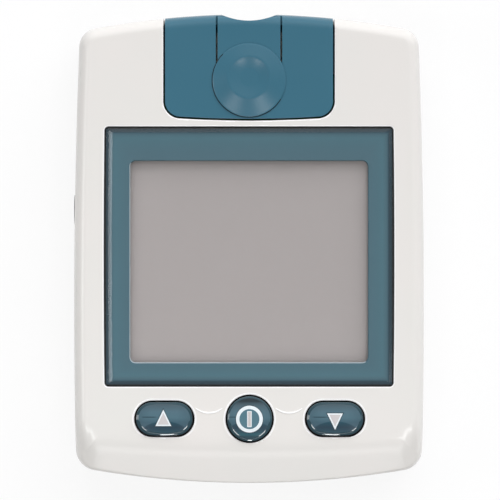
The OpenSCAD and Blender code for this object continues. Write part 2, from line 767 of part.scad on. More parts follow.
module lcd_holder() {
    side = 1.1;
    rail = 0.8;
    pin_r = 0.7;
    outer = [glass_w / 2 + side, glass_l / 2 + side];
    ledge = strip_w + 0.8;
    color("#f2f1ec") translate([0, display_y, 0]) {
        difference() {
            box([-outer[0], outer[0]], [-outer[1], outer[1]], [board_top + eps, face_under - fit]);
            box([-glass_w / 2 - fit, glass_w / 2 + fit], [-glass_l / 2 - fit, glass_l / 2 + fit],
                [board_top - cut, face_z]);
        }
        // rails that keep the rubber strips upright, clear of the rear glass
        for (end = [-1, 1]) translate([0, end * (glass_l / 2 - strip_w - 0.4 - rail / 2), 0])
            box([-glass_w / 2 - side / 2, glass_w / 2 + side / 2], [-rail / 2, rail / 2],
                [board_top + eps, glass_z - glass_t - fit]);
        for (x = [-1, 1]) for (y = [-1, 1])
            translate([x * (outer[0] - side / 2), y * (outer[1] - 6), board_z + fit])
                cylinder(r = pin_r, h = board_t + 0.6);
    }
}

module lcd_strip(end) {
    color("#8f8f94") translate([0, display_y + end * (glass_l / 2 - strip_w / 2 - fit), 0])
        box([-glass_w / 2 + 1, glass_w / 2 - 1], [-strip_w / 2 + fit, strip_w / 2 - fit], [board_top, glass_z]);
}

module lcd_strip_upper() {
    lcd_strip(1);
}

module lcd_strip_lower() {
    lcd_strip(-1);
}

// Board ---------------------------------------------------------------------

module board_plan() {
    difference() {
        union() {
            translate([-board_half_w, board_step_y]) square([2 * board_half_w, board_top_y - board_step_y]);
            translate([-board_low_w / 2, board_low_y]) square([board_low_w, board_step_y - board_low_y + 1]);
            translate([-board_tab_w / 2, board_top_y - 1]) square([board_tab_w, board_tab_y - board_top_y + 1]);
        }
        for (p = board_screw_places) translate(p) circle(r = board_screw_r + 0.25);
        for (x = [-1, 1]) for (y = [-1, 1])
            translate([x * (glass_w / 2 + 0.55), display_y + y * (glass_l / 2 + 1.1 - 6)]) circle(r = 0.7 + fit);
    }
}

module main_board() {
    color("#1f6b3a") translate([0, 0, board_z]) linear_extrude(board_t) board_plan();
}

// Components under the board: controller with its pins, memory, crystal can and two capacitors
module board_chips() {
    chip_w = 12;
    chip_h = 1.55;
    pin_w = 0.35;
    pin_pitch = 1;
    pins = 10;
    memory = [5, 4, 1.5];
    crystal = [8, 3, 2.6];
    capacitor_r = 2;
    capacitor_h = 4;
    color("#26272a") {
        translate([1, jack_y - 2, 0]) {
            box([-chip_w / 2, chip_w / 2], [-chip_w / 2, chip_w / 2], [board_z - 0.15 - chip_h, board_z - 0.15]);
            for (turn = [0 : 90 : 270]) rotate([0, 0, turn]) for (i = [0 : pins - 1])
                translate([0, (i - (pins - 1) / 2) * pin_pitch, 0])
                    box([chip_w / 2 - 0.1, chip_w / 2 + 1], [-pin_w / 2, pin_w / 2], [board_z - 0.6, board_z - eps]);
        }
        for (c = [[[-14.5, jack_y + 13], memory], [[0, jack_y + 14.5], crystal]])
            translate([c[0][0], c[0][1], board_z - eps - c[1][2] / 2]) cube(c[1], center = true);
        for (x = [12, 17]) translate([x, jack_y - 12, board_z - capacitor_h])
            cylinder(r = capacitor_r, h = capacitor_h - eps);
    }
}

module board_screws() {
    color("silver") for (p = board_screw_places) translate([p[0], p[1], 0]) {
        translate([0, 0, board_z - board_head_h - eps]) cylinder(r = board_head_r, h = board_head_h);
        translate([0, 0, board_z - 0.2]) cylinder(r = board_screw_r, h = face_under - 1 - board_z);
    }
}

module buzzer() {
    color("#2b2b2e") translate([19, jack_y + 7, board_z - 3 - eps]) rotate_extrude()
        polygon([[1, 0], [5.4, 0], [6, 0.5], [6, 3], [0, 3], [0, 1.2], [1, 1.2]]);
}

module data_jack() {
    side_x = body_w / 2 - pow(jack_y + waist_drop, 2) / (2 * side_arc_r);
    nose_x = -side_x - jack_proud;
    body_x = -side_x + wall + 0.2;
    body_l_in = jack_depth + 1.2 - (body_x - nose_x);
    body_half = 3.1;
    color("#1f2224") difference() {
        union() {
            translate([nose_x, jack_y, jack_z]) rotate([0, 90, 0]) rotate_extrude()
                polygon([[0, 0], [jack_collar_d / 2 - 0.3, 0], [jack_collar_d / 2, 0.3],
                    [jack_collar_d / 2, body_x - nose_x + eps], [0, body_x - nose_x + eps]]);
            box([body_x, body_x + body_l_in], [jack_y - body_half, jack_y + body_half],
                [board_z - jack_h, board_z - eps]);
        }
        translate([nose_x - eps, jack_y, jack_z]) rotate([0, 90, 0]) cylinder(d = jack_bore_d, h = jack_depth);
    }
}

module strip_connector() {
    roof = 0.45;
    lane_w = 0.9;
    color("#e9e6dc") difference() {
        box([-connector_w / 2, connector_w / 2], [connector_y, connector_end_y], [board_top + eps, connector_top]);
        box([-slot_w / 2 - 0.1, slot_w / 2 + 0.1], [connector_y + 0.4, connector_end_y + cut],
            [slot_z - slot_h / 2, slot_z + slot_h / 2]);
        // way for the ejector's finger, then one lane for each contact
        box([-pusher_w / 2 - float_gap, pusher_w / 2 + float_gap],
            [pusher_y - float_gap, pusher_y + pusher_t + ejector_travel + float_gap],
            [slot_z - slot_h / 2 - 0.05, connector_top + cut]);
        for (i = [0 : contact_count - 1]) translate([(i - (contact_count - 1) / 2) * contact_pitch, 0, 0])
            box([-lane_w / 2, lane_w / 2], [connector_y + 6.2, connector_end_y - 1.6],
                [slot_z - cut, connector_top + cut]);
    }
}

// Sprung leaves in the connector's lanes
module strip_contacts() {
    leaf_w = 0.6;
    leaf_t = 0.15;
    start_y = connector_y + 6.4;
    end_y = connector_end_y - 2;
    mid_y = (start_y + end_y) / 2;
    high_z = connector_top - 0.3;
    low_z = slot_z - slot_h / 2 + 0.25;
    color("#c8a24a") for (i = [0 : contact_count - 1])
        translate([(i - (contact_count - 1) / 2) * contact_pitch, 0, 0]) rotate([90, 0, 90])
            linear_extrude(height = leaf_w, center = true)
                polygon([[start_y, high_z], [start_y + 1, high_z], [mid_y, low_z], [end_y, high_z],
                    [end_y, high_z + leaf_t], [mid_y, low_z + leaf_t], [start_y + 1, high_z + leaf_t],
                    [start_y, high_z + leaf_t]]);
}

// Keys ----------------------------------------------------------------------

// Crowned cap with a bevelled rim and a retaining flange, open below for the mat's boot
module key(straight, r) {
    crown_z = face_z + key_h;
    rim_z = face_z + key_h * 0.45;
    color("#2f5a6e") difference() {
        union() {
            racetrack_sweep(straight)
                polygon([[0, key_under], [r + key_flange, key_under], [r + key_flange, face_under - float_gap],
                    [r, face_under - float_gap], [r, rim_z - 0.35], [r - 0.1, rim_z - 0.1], [r - 0.45, rim_z],
                    for (i = [1 : 6]) let (t = i / 6) [(r - 0.45) * (1 - t), rim_z + (crown_z - rim_z) * sin(90 * t)]]);
        }
        translate([0, 0, key_under - cut]) linear_extrude(cut + key_hollow) racetrack(straight, r - 1.6);
    }
}

module side_key(side) {
    translate([side * key_pitch, keys_y, 0]) key(key_w - key_l, key_l / 2);
}

module up_key() {
    side_key(-1);
}

module down_key() {
    side_key(1);
}

module power_key() {
    translate([0, keys_y, 0]) key(0, power_d / 2);
}

module keypad_mat() {
    plunger_top = key_under + key_hollow - boot_gap;
    color("#c9c7c2") difference() {
        union() {
            box([-key_pitch - key_w / 2 - 1.4, key_pitch + key_w / 2 + 1.4],
                [keys_y - 4.2, keys_y + 4.2], [board_top + eps, board_top + mat_t]);
            for (k = key_places) translate([k[0], keys_y, 0]) {
                translate([0, 0, board_top + mat_t - eps]) cylinder(r1 = 3, r2 = 2, h = boot_top - board_top - mat_t);
                translate([0, 0, boot_top - 0.6]) cylinder(r = 1.4, h = plunger_top - boot_top + 0.6);
            }
        }
        for (k = key_places) translate([k[0], keys_y, board_top - cut])
            cylinder(r = 2.2, h = cut + key_travel + pill_t);
    }
}

// Pills in the roofs of the boots, one key travel above the board
module contact_pills() {
    color("#1b1b1b") for (k = key_places)
        translate([k[0], keys_y, board_top + key_travel]) cylinder(r = 1.6, h = pill_t - eps);
}

// Batteries -----------------------------------------------------------------

// Cell along +X with its nub at the far end, centred on its length
module cell() {
    nub_h = 0.9;
    nub_r = 1.9;
    edge = 0.5;
    r = cell_d / 2;
    rotate([0, 90, 0]) translate([0, 0, -cell_l / 2]) rotate_extrude()
        polygon([[0, 0.15], [r - 1.4, 0.15], [r - 1.2, 0], [r - edge, 0], [r, edge], [r, cell_l - nub_h - edge],
            [r - edge, cell_l - nub_h], [nub_r, cell_l - nub_h], [nub_r, cell_l - 0.2], [nub_r - 0.2, cell_l],
            [0, cell_l]]);
}

module battery_cell_upper() {
    color("#c7c9cc") translate([cell_shift, cell_upper_y, cell_z]) cell();
}

module battery_cell_lower() {
    color("#c7c9cc") translate([-cell_shift, cell_lower_y, cell_z]) rotate([0, 0, 180]) cell();
}

// One cell's contact plate against the end wall on the +X side, with its solder tail
module contact_plate() {
    translate([bay_l / 2 - contact_t / 2 - eps, 0, cell_z]) {
        cube([contact_t, 8.4, 6.8], center = true);
        translate([0, 0, (board_z - 2 * fit - cell_z) / 2]) cube([contact_t, 2, board_z - 2 * fit - cell_z], center = true);
    }
}

module plus_contact() {
    dimple = plate_room - contact_t - 0.1;
    contact_plate();
    translate([bay_l / 2 - contact_t - dimple, 0, cell_z]) rotate([0, 90, 0])
        cylinder(r1 = 1.2, r2 = 2, h = dimple + eps);
}

module minus_contact() {
    contact_plate();
    translate([bay_l / 2 - contact_t - (spring_room - contact_t - 0.1), 0, cell_z]) rotate([0, 90, 0])
        coil(2.2, 3.3, spring_room - contact_t - 0.05, 3, 0.5, 6, 16);
}

module battery_bridge() {
    color("silver") {
        translate([0, cell_upper_y, 0]) plus_contact();
        translate([0, cell_lower_y, 0]) minus_contact();
        translate([bay_l / 2 - contact_t / 2 - eps, (cell_upper_y + cell_lower_y) / 2, cell_z])
            cube([contact_t, cell_pitch - 8, 5], center = true);
    }
}

module battery_plus_plate() {
    color("silver") translate([0, cell_lower_y, 0]) mirror([1, 0, 0]) plus_contact();
}

module battery_minus_spring() {
    color("silver") translate([0, cell_upper_y, 0]) mirror([1, 0, 0]) minus_contact();
}

// Screws --------------------------------------------------------------------

module case_screws() {
    color("silver") for (p = case_screw_places) translate([p[0], p[1], 0]) difference() {
        union() {
            translate([0, 0, screw_recess - screw_head_h - eps]) rotate_extrude()
                polygon([[0, 0], [screw_head_d / 2 - 0.4, 0], [screw_head_d / 2, 0.4],
                    [screw_head_d / 2, screw_head_h], [0, screw_head_h]]);
            translate([0, 0, screw_recess - 0.2]) cylinder(d = screw_d, h = screw_tip_z - screw_recess + 0.2);
        }
        for (turn = [0, 90]) rotate([0, 0, turn])
            translate([0, 0, screw_recess - screw_head_h]) cube([2, 0.45, 1.2], center = true);
    }
}

front_cover();
rear_cover();
battery_door();
port_bezel();
ejector_button();
ejector_carrier();
ejector_spring();
display_window();
window_tape();
lcd_panel();
lcd_holder();
lcd_strip_upper();
lcd_strip_lower();
main_board();
board_chips();
board_screws();
buzzer();
data_jack();
strip_connector();
strip_contacts();
up_key();
power_key();
down_key();
keypad_mat();
contact_pills();
battery_cell_upper();
battery_cell_lower();
battery_bridge();
battery_plus_plate();
battery_minus_spring();
case_screws();
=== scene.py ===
# %% [markdown]
# # A hand-held blood glucose meter
#
# This notebook dresses the imported meter for a studio picture. The display half of the casing, the
# port bezel, the ejector, the window and the keys are built here as smooth surfaces from the same
# numbers as the construction, because those are what the eye and the light rest on. Everything inside
# keeps its own mesh and gets a finish. Lengths are written in millimetres and turned to metres once.

# %% Load the imported meter
import json
import math

import bmesh
import bpy
import numpy as np
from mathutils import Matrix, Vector


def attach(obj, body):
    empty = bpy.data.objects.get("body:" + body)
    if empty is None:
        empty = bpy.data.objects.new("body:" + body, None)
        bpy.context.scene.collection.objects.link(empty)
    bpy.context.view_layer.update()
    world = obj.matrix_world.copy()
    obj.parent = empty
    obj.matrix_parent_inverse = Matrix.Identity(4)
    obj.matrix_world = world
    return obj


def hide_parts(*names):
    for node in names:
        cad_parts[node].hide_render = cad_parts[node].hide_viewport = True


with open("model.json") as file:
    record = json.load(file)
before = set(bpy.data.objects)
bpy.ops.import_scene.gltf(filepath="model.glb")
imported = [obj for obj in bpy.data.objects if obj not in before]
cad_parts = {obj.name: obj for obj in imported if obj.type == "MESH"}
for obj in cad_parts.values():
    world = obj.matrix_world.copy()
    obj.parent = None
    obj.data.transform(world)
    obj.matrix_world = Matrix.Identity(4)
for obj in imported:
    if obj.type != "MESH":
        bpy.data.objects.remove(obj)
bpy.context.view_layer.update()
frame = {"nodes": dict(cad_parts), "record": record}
nodes = frame["nodes"]

# %% [markdown]
# ## The numbers
#
# The meter lies on its back, with the display looking along +Z and the strip port at +Y. These are
# the sizes of the construction. The heights name the surfaces from the back up. Only the key row
# is drawn a little differently: 0.12 mm further to +X, with caps trimmed by 0.1 mm and 0.23 mm.

# %% Sizes in millimetres
MM = 0.001
BODY_W, BODY_L = 66.0, 88.4
TOP_Y, BOTTOM_Y = BODY_L / 2, -BODY_L / 2
SIDE_R, WAIST_DROP = 1250.0, 11.0
TOP_R, BOTTOM_R = 160.0, 178.0
TOP_CORNER_R, BOTTOM_CORNER_R = 3.6, 4.1
PART_Z, SEAM = 11.05, 0.15
FACE_UNDER, FACE_Z = 18.95, 20.95
ROLL_W, ROLL_H = 2.2, 3.2
CHIN_L, CHIN_ANGLE, CHIN_R = 6.9, math.radians(20), 360.0
CHIN_Y = BOTTOM_Y + CHIN_L
WALL, LIP_H, LIP_T = 2.0, 1.0, 0.95

WINDOW_W, WINDOW_L, WINDOW_Y = 54.3, 48.6, -1.5
POCKET_Z, WINDOW_TOP_Z = 19.95, 21.4
BEVEL_SIDE_W, BEVEL_END_W, BEVEL_H, WINDOW_PLAY = 1.35, 0.95, 0.5, 0.12
DISPLAY_Y = -2.45
VIEW_W, VIEW_L, VIEW_R = 44.7, 37.9, 1.05

BEZEL_W, BEZEL_Y, BEZEL_CORNER_R, BEZEL_R, BEZEL_T = 31.8, 24.3, 3.0, 210.0, 1.8
PORT_WALL = 1.6
TONGUE_W, TONGUE_T, TONGUE_LOW_Y = 11.95, 1.4, 29.05
FLOAT = 0.2
DISH_Y, DISH_R, BOSS_R, BOSS_UP = 31.65, 7.0, 3.95, 0.6
SCALLOP_DEPTH, SCALLOP_HALF_W = 1.3, 5.4
SCALLOP_R = (SCALLOP_HALF_W ** 2 + SCALLOP_DEPTH ** 2) / (2 * SCALLOP_DEPTH)
SCALLOP_Y = TOP_Y - SCALLOP_DEPTH + SCALLOP_R
SLOT_W, SLOT_H, SLOT_Z = 7.4, 0.9, 15.95

KEYS_Y, KEY_PITCH, KEY_W, KEY_L, POWER_D = -32.0, 16.04, 11.0, 6.5, 9.0
KEY_GAP, KEY_UNDER, KEY_CROWN_Z = 0.22, 17.45, 21.8
KEY_SHIFT, KEY_TRIM, POWER_TRIM = 0.12, 0.1, 0.23
JACK_Y, JACK_HOLE_R = 7.27, 3.3
print("display face at", FACE_Z, "mm, scallop radius", round(SCALLOP_R, 2), "mm")

# %% [markdown]
# ## Outlines
#
# Seen from above, the casing is a chain of tangent arcs: two long side bows, two arched ends and
# four small corners. Pulling such an outline in by some distance only changes each radius by that
# distance, so one function gives the edge of the wall, of the roll-off and of the inner cavity.
# Every outline here is a closed loop of points that runs anticlockwise, with the same number of
# points for every offset, so that two offsets of it can be joined point by point.


# %% Arcs and the casing's outline
def arc(centre, radius, start, end, count):
    """Points at centre + radius * (cos a, sin a), with the angle a running evenly from start to end."""
    a = np.linspace(start, end, count)
    return np.stack([centre[0] + radius * np.cos(a), centre[1] + radius * np.sin(a)], axis=1)


def circles_meet(c1, r1, c2, r2):
    """The point left of the line c1-c2 that lies r1 from c1 and r2 from c2."""
    c1, c2 = np.array(c1, float), np.array(c2, float)
    gap = np.linalg.norm(c2 - c1)
    unit = (c2 - c1) / gap
    along = (r1 ** 2 - r2 ** 2 + gap ** 2) / (2 * gap)
    return c1 + along * unit + math.sqrt(r1 ** 2 - along ** 2) * np.array([-unit[1], unit[0]])


def heading(start, end):
    """The angle of the line from start to end."""
    return math.atan2(end[1] - start[1], end[0] - start[0])


def casing_outline(inset=0.0):
    """Right half: lower arch, lower corner, side bow, upper corner and upper arch, each arc's radius
    less the inset. The left half is its mirror image, taken in the opposite order."""
    side_c, top_c = (BODY_W / 2 - SIDE_R, -WAIST_DROP), (0, TOP_Y - TOP_R)
    low_c = (0, BOTTOM_Y + BOTTOM_R)
    top_corner = circles_meet(side_c, SIDE_R - TOP_CORNER_R, top_c, TOP_R - TOP_CORNER_R)
    low_corner = circles_meet(low_c, BOTTOM_R - BOTTOM_CORNER_R, side_c, SIDE_R - BOTTOM_CORNER_R)
    a_low, a_side_low = heading(low_c, low_corner), heading(side_c, low_corner)
    a_side_top, a_top = heading(side_c, top_corner), heading(top_c, top_corner)
    right = np.concatenate([
        arc(low_c, BOTTOM_R - inset, -math.pi / 2, a_low, 30),
        arc(low_corner, BOTTOM_CORNER_R - inset, a_low, a_side_low, 16)[1:],
        arc(side_c, SIDE_R - inset, a_side_low, a_side_top, 40)[1:],
        arc(top_corner, TOP_CORNER_R - inset, a_side_top, a_top, 16)[1:],
        arc(top_c, TOP_R - inset, a_top, math.pi / 2, 30)[1:],
    ])
    left = right[-2:0:-1] * [-1, 1]
    return np.concatenate([right, left])


print("casing outline:", len(casing_outline()), "points,",
      np.ptp(casing_outline(), axis=0).round(2), "mm")


# %% Outlines of the smaller openings
def rounded_rect(width, length, radius, offset=0.0, centre=(0, 0), bow=0.0):
    """Four quarter circles round the corners of a rectangle grown by offset, with points along the
    sides between them. Away from their middle the long sides draw in, by bow at their ends."""
    w, l, r = width / 2 + offset, length / 2 + offset, max(radius + offset, 0.05)
    corners = [arc((x * (w - r), y * (l - r)), r, math.radians(a), math.radians(a + 90), 8)
               for x, y, a in ((1, -1, -90), (1, 1, 0), (-1, 1, 90), (-1, -1, 180))]
    loop = np.concatenate([part for here, following in zip(corners, corners[1:] + corners[:1])
                           for part in (here, np.linspace(here[-1], following[0], 14)[1:-1])])
    loop[:, 0] -= np.sign(loop[:, 0]) * bow * (loop[:, 1] / l) ** 2
    return loop + np.array(centre)


def racetrack(straight, radius, centre=(0, 0), count=48):
    """Two half circles of that radius, the length of the straight apart, with points along the
    straights as well."""
    half = arc((straight / 2, 0), radius, -math.pi / 2, math.pi / 2, count)
    if straight:
        half = np.concatenate([half, np.linspace((straight / 2, radius), (-straight / 2, radius), 16)[1:-1]])
    return np.concatenate([half, -half]) + np.array(centre)


def bezel_outline(grow=0.0):
    """The bezel's shape from above: two straight sides, two corners and a bowed lower edge whose
    centre lies far up. The upper side lies outside the casing."""
    centre = (0, BEZEL_Y + BEZEL_R)
    x = BEZEL_W / 2 - BEZEL_CORNER_R
    y = centre[1] - math.sqrt((BEZEL_R - BEZEL_CORNER_R) ** 2 - x ** 2)
    turn = heading(centre, (x, y))
    side, top = BEZEL_W / 2 + grow, TOP_Y + 2
    right = np.concatenate([
        arc(centre, BEZEL_R + grow, -math.pi / 2, turn, 16),
        arc((x, y), BEZEL_CORNER_R + grow, turn, 0, 16)[1:],
        np.linspace((side, y), (side, top), 12)[1:],
        np.linspace((side, top), (0, top), 6)[1:],
    ])
    return np.concatenate([right, right[-2:0:-1] * [-1, 1]])


def circle(radius, centre=(0, 0), count=96):
    """Points evenly round a circle."""
    return arc(centre, radius, 0, 2 * math.pi, count + 1)[:-1]


print("bezel outline:", len(bezel_outline()), "points")


# %% [markdown]
# ## From outlines to solids
#
# A moulding is a stack of outlines. `loft` joins rings of points with quads and closes the two
# ends, and `prism` is the short way to a stack whose rings differ only in height and offset. Cuts,
# such as the window's pocket, use Blender's exact Boolean on such stacks: it keeps the true edges
# of both shapes. After it, edges sharper than 30 degrees stay sharp and the rest are shaded
# smooth, with normals weighted by face area so that large flats stay flat.


# %% Mesh helpers
def loft(rings, endless=False):
    """Quads between ring i and ring i + 1. The first and last ring are filled by a flat face, or
    joined to each other where the solid is endless, as a frame is. The rings run anticlockwise and
    climb, so that all faces look outwards."""
    rings = np.asarray(rings, float)
    m, n = rings.shape[:2]
    i, j = np.meshgrid(np.arange(m if endless else m - 1), np.arange(n), indexing="ij")
    up, k = (i + 1) % m, (j + 1) % n
    quads = np.stack([i * n + j, i * n + k, up * n + k, up * n + j], axis=-1)
    ends = [] if endless else [list(range(n))[::-1], list(range((m - 1) * n, m * n))]
    return rings.reshape(-1, 3), quads.reshape(-1, 4).tolist() + ends


def level(outline, z):
    """The outline as a ring at height z, which is one number or one for each point."""
    return np.column_stack([outline, np.broadcast_to(z, len(outline))])


def prism(outline, levels, endless=False):
    """A loft through level(outline(offset), z) for each (z, offset)."""
    return loft([level(outline(offset), z) for z, offset in levels], endless)


def box(x, y, z):
    """A box between two values along each axis."""
    corners = np.array([(x[0], y[0]), (x[1], y[0]), (x[1], y[1]), (x[0], y[1])])
    return loft([level(corners, z[0]), level(corners, z[1])])


def drum(axis, start, radius, length, count=64):
    """A cylinder from the point start along +X, +Y or +Z."""
    points, faces = loft([level(circle(radius, count=count), 0), level(circle(radius, count=count), length)])
    return np.roll(points, "zxy".index(axis), axis=1) + np.array(start), faces


def mesh_object(name, solid):
    """A Blender object at the origin, with its place in its mesh, from points in millimetres."""
    points, faces = solid
    mesh = bpy.data.meshes.new(name)
    mesh.from_pydata((np.asarray(points) * MM).tolist(), [], faces)
    mesh.validate()
    obj = bpy.data.objects.new(name, mesh)
    bpy.context.scene.collection.objects.link(obj)
    return obj


def applied(obj):
    """Puts what the object's modifiers give into its mesh."""
    mesh = bpy.data.meshes.new_from_object(obj.evaluated_get(bpy.context.evaluated_depsgraph_get()))
    old, name = obj.data, obj.data.name
    obj.modifiers.clear()
    obj.data = mesh
    bpy.data.meshes.remove(old)
    mesh.name = name
    return obj


def combine(obj, solids, operation="DIFFERENCE"):
    """Cuts the solids from obj one after the other, or joins them to it. A solid is points and
    faces, or an object that is used up."""
    for solid in solids:
        tool = solid if isinstance(solid, bpy.types.Object) else mesh_object("tool", solid)
        cut = obj.modifiers.new("cut", "BOOLEAN")
        cut.operation, cut.solver, cut.object = operation, "EXACT", tool
        applied(obj)
        bpy.data.meshes.remove(tool.data)
    return obj


def smooth(obj, angle=30):
    """Merges doubles, shades smooth between sharp edges and weights the normals by face area."""
    bm = bmesh.new()
    bm.from_mesh(obj.data)
    bmesh.ops.remove_doubles(bm, verts=bm.verts, dist=2e-7)
    bmesh.ops.dissolve_degenerate(bm, edges=bm.edges, dist=1e-7)
    bm.to_mesh(obj.data)
    bm.free()
    obj.data.polygons.foreach_set("use_smooth", np.ones(len(obj.data.polygons), bool))
    obj.data.set_sharp_from_angle(angle=math.radians(angle))
    weights = obj.modifiers.new("weights", "WEIGHTED_NORMAL")
    weights.keep_sharp = True
    return obj


def points_of(obj):
    """The mesh's points in millimetres, one row each."""
    values = np.empty(3 * len(obj.data.vertices))
    obj.data.vertices.foreach_get("co", values)
    return values.reshape(-1, 3) / MM


def faces_of(obj, what):
    """One row for each face: its normal, or its center in metres."""
    values = np.empty(3 * len(obj.data.polygons))
    obj.data.polygons.foreach_get(what, values)
    return values.reshape(-1, 3)


def over_corners(obj, at_points, gather):
    """For each face, what gather makes of the values at its corners. It is a numpy function with
    reduceat, such as np.maximum, or np.logical_and for "all of them"."""
    corners = np.empty(len(obj.data.loops), np.int32)
    starts = np.empty(len(obj.data.polygons), np.int32)
    obj.data.loops.foreach_get("vertex_index", corners)
    obj.data.polygons.foreach_get("loop_start", starts)
    return gather.reduceat(at_points[corners], starts)


def finish_piece(obj, body, slot, material, *replaced):
    """Gives a piece its finish and its body, and hides the construction nodes that it stands for."""
    obj.data.materials.clear()
    obj.data.materials.append(material)
    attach(obj, body)
    if replaced:
        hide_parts(*replaced)
    print(f"{obj.name}: {len(obj.data.vertices)} vertices on {body}")
    return obj


def repaint(obj, materials, choice):
    """Gives a piece more finishes. For each face the choice is 0 for its first finish, or the place
    of another in the list, counted from 1."""
    for material in materials:
        obj.data.materials.append(material)
    choice = np.asarray(choice, np.int32)
    obj.data.polygons.foreach_set("material_index", choice)
    print(f"{obj.name}: faces in each finish", np.bincount(choice).tolist())


# %% [markdown]
# ## Finishes
#
# Each finish starts from what the real surface is and how it was made. Colours are the values
# that a picture editor shows, and one function turns them to the linear values that light works
# in. Patterns read Object coordinates, so their scale is in metres: a noise scale of 1000 has
# features of about a millimetre.


# %% Colour and node helpers
def linear(code):
    """An sRGB hex colour as linear red, green, blue and 1."""
    c = np.array([int(code[i:i + 2], 16) for i in (1, 3, 5)]) / 255
    return (*np.where(c <= 0.04045, c / 12.92, ((c + 0.055) / 1.055) ** 2.4), 1.0)


def add(tree, kind, inputs=None, stops=(), **settings):
    """Adds one node and sets its properties and, on a ramp, its stops, the two outermost first. Each
    named input gets a value, or a link from a socket or from another node's output in use."""
    made = tree.nodes.new(kind)
    for name, value in settings.items():
        setattr(made, name, value)
    for number, (at, code) in enumerate(stops):
        stop = made.color_ramp.elements[number] if number < 2 else made.color_ramp.elements.new(at)
        stop.position, stop.color = at, linear(code)
    for name, value in (inputs or {}).items():
        if isinstance(value, bpy.types.Node):
            value = next(socket for socket in value.outputs if socket.enabled)
        if isinstance(value, bpy.types.NodeSocket):
            tree.links.new(value, made.inputs[name])
        else:
            made.inputs[name].default_value = value
    return made


def new_finish(name):
    """An empty material, its node tree, and the Object coordinates that its patterns read."""
    material = bpy.data.materials.new(name)
    material.use_nodes = True
    material.node_tree.nodes.clear()
    print("finish:", name)
    return material, material.node_tree, add(material.node_tree, "ShaderNodeTexCoord").outputs["Object"]


# %% [markdown]
# ### Pearl white ABS
#
# The casing is injection-moulded ABS with a pearl lacquer: a warm off-white with fine mica flakes
# that make it shimmer faintly, under a satin clear coat. Soft patches of slightly pinker and greener
# white, about 18 mm across, are what makes pearl look like pearl. The flakes are about 0.1 mm; they
# are drawn at 0.25 mm, the finest that shows.

# %% Pearl lacquer
pearl, tree, where = new_finish("pearl_lacquered_abs")
patches = add(tree, "ShaderNodeTexNoise", {"Vector": where, "Scale": 55.0, "Detail": 2.0})
flakes = add(tree, "ShaderNodeTexVoronoi", {"Vector": where, "Scale": 4000.0})
tone = add(tree, "ShaderNodeMix", {"Factor": patches, "A": linear("#e8e2de"), "B": linear("#e2e1dc")},
           data_type="RGBA")
spark = add(tree, "ShaderNodeMapRange", {"Value": flakes.outputs["Color"], "To Min": 0.30, "To Max": 0.42})
bump = add(tree, "ShaderNodeBump", {"Height": flakes.outputs["Distance"], "Strength": 0.03, "Distance": 0.00002})
shader = add(tree, "ShaderNodeBsdfPrincipled", {
    "Base Color": tone, "Roughness": spark, "IOR": 1.5,
    "Coat Weight": 0.6, "Coat Roughness": 0.18, "Normal": bump})
add(tree, "ShaderNodeOutputMaterial", {"Surface": shader})

# %% [markdown]
# The lips of the openings get a painted highlight: a whiter, glossier lacquer than the casing
# that stands in for the light their rounded edges catch. Its tone varies in patches of about 2.5 mm.

# %% Lip finish with painted highlight
lip_highlight, tree, where = new_finish("lip_painted_highlight")
highlight_noise = add(tree, "ShaderNodeTexNoise", {"Vector": where, "Scale": 400.0, "Detail": 1.0})
# Near white, whiter than the casing: a painted highlight.
tone = add(tree, "ShaderNodeMix", {"Factor": highlight_noise, "A": linear("#ffffff"), "B": linear("#fbf8f6")},
           data_type="RGBA")
shader = add(tree, "ShaderNodeBsdfPrincipled", {
    "Base Color": tone, "Roughness": 0.3, "IOR": 1.5, "Coat Weight": 0.8, "Coat Roughness": 0.12})
add(tree, "ShaderNodeOutputMaterial", {"Surface": shader})

# %% [markdown]
# ### Teal ABS
#
# The bezel and the ejector are moulded in through-coloured teal ABS with a fine satin texture from
# the spark-eroded tool. The grain is about 0.15 mm, and the pigment clouds are about 11 mm across.

# %% Satin teal
teal, tree, where = new_finish("satin_teal_abs")
grain = add(tree, "ShaderNodeTexNoise", {"Vector": where, "Scale": 6000.0, "Detail": 2.0})
cloud = add(tree, "ShaderNodeTexNoise", {"Vector": where, "Scale": 90.0, "Detail": 1.0})
tone = add(tree, "ShaderNodeMix", {"Factor": cloud, "A": linear("#35697d"), "B": linear("#3a6c80")},
           data_type="RGBA")
bump = add(tree, "ShaderNodeBump", {"Height": grain, "Strength": 0.08, "Distance": 0.00003})
shader = add(tree, "ShaderNodeBsdfPrincipled", {
    "Base Color": tone, "Roughness": 0.26, "IOR": 1.45, "Normal": bump})
add(tree, "ShaderNodeOutputMaterial", {"Surface": shader})

# %% [markdown]
# Deep in the narrow gaps between the mouldings hardly any light reaches, so their walls get painted
# shade: a near-black rough finish whose tone varies every 0.4 mm.

# %% Walls of the gaps
gap_shade, tree, where = new_finish("gap_wall_painted_shade")
shade_noise = add(tree, "ShaderNodeTexNoise", {"Vector": where, "Scale": 2500.0})
tone = add(tree, "ShaderNodeMix", {"Factor": shade_noise, "A": linear("#04080b"), "B": linear("#0a1216")},
           data_type="RGBA")
shader = add(tree, "ShaderNodeBsdfPrincipled", {"Base Color": tone, "Roughness": 0.9})
add(tree, "ShaderNodeOutputMaterial", {"Surface": shader})
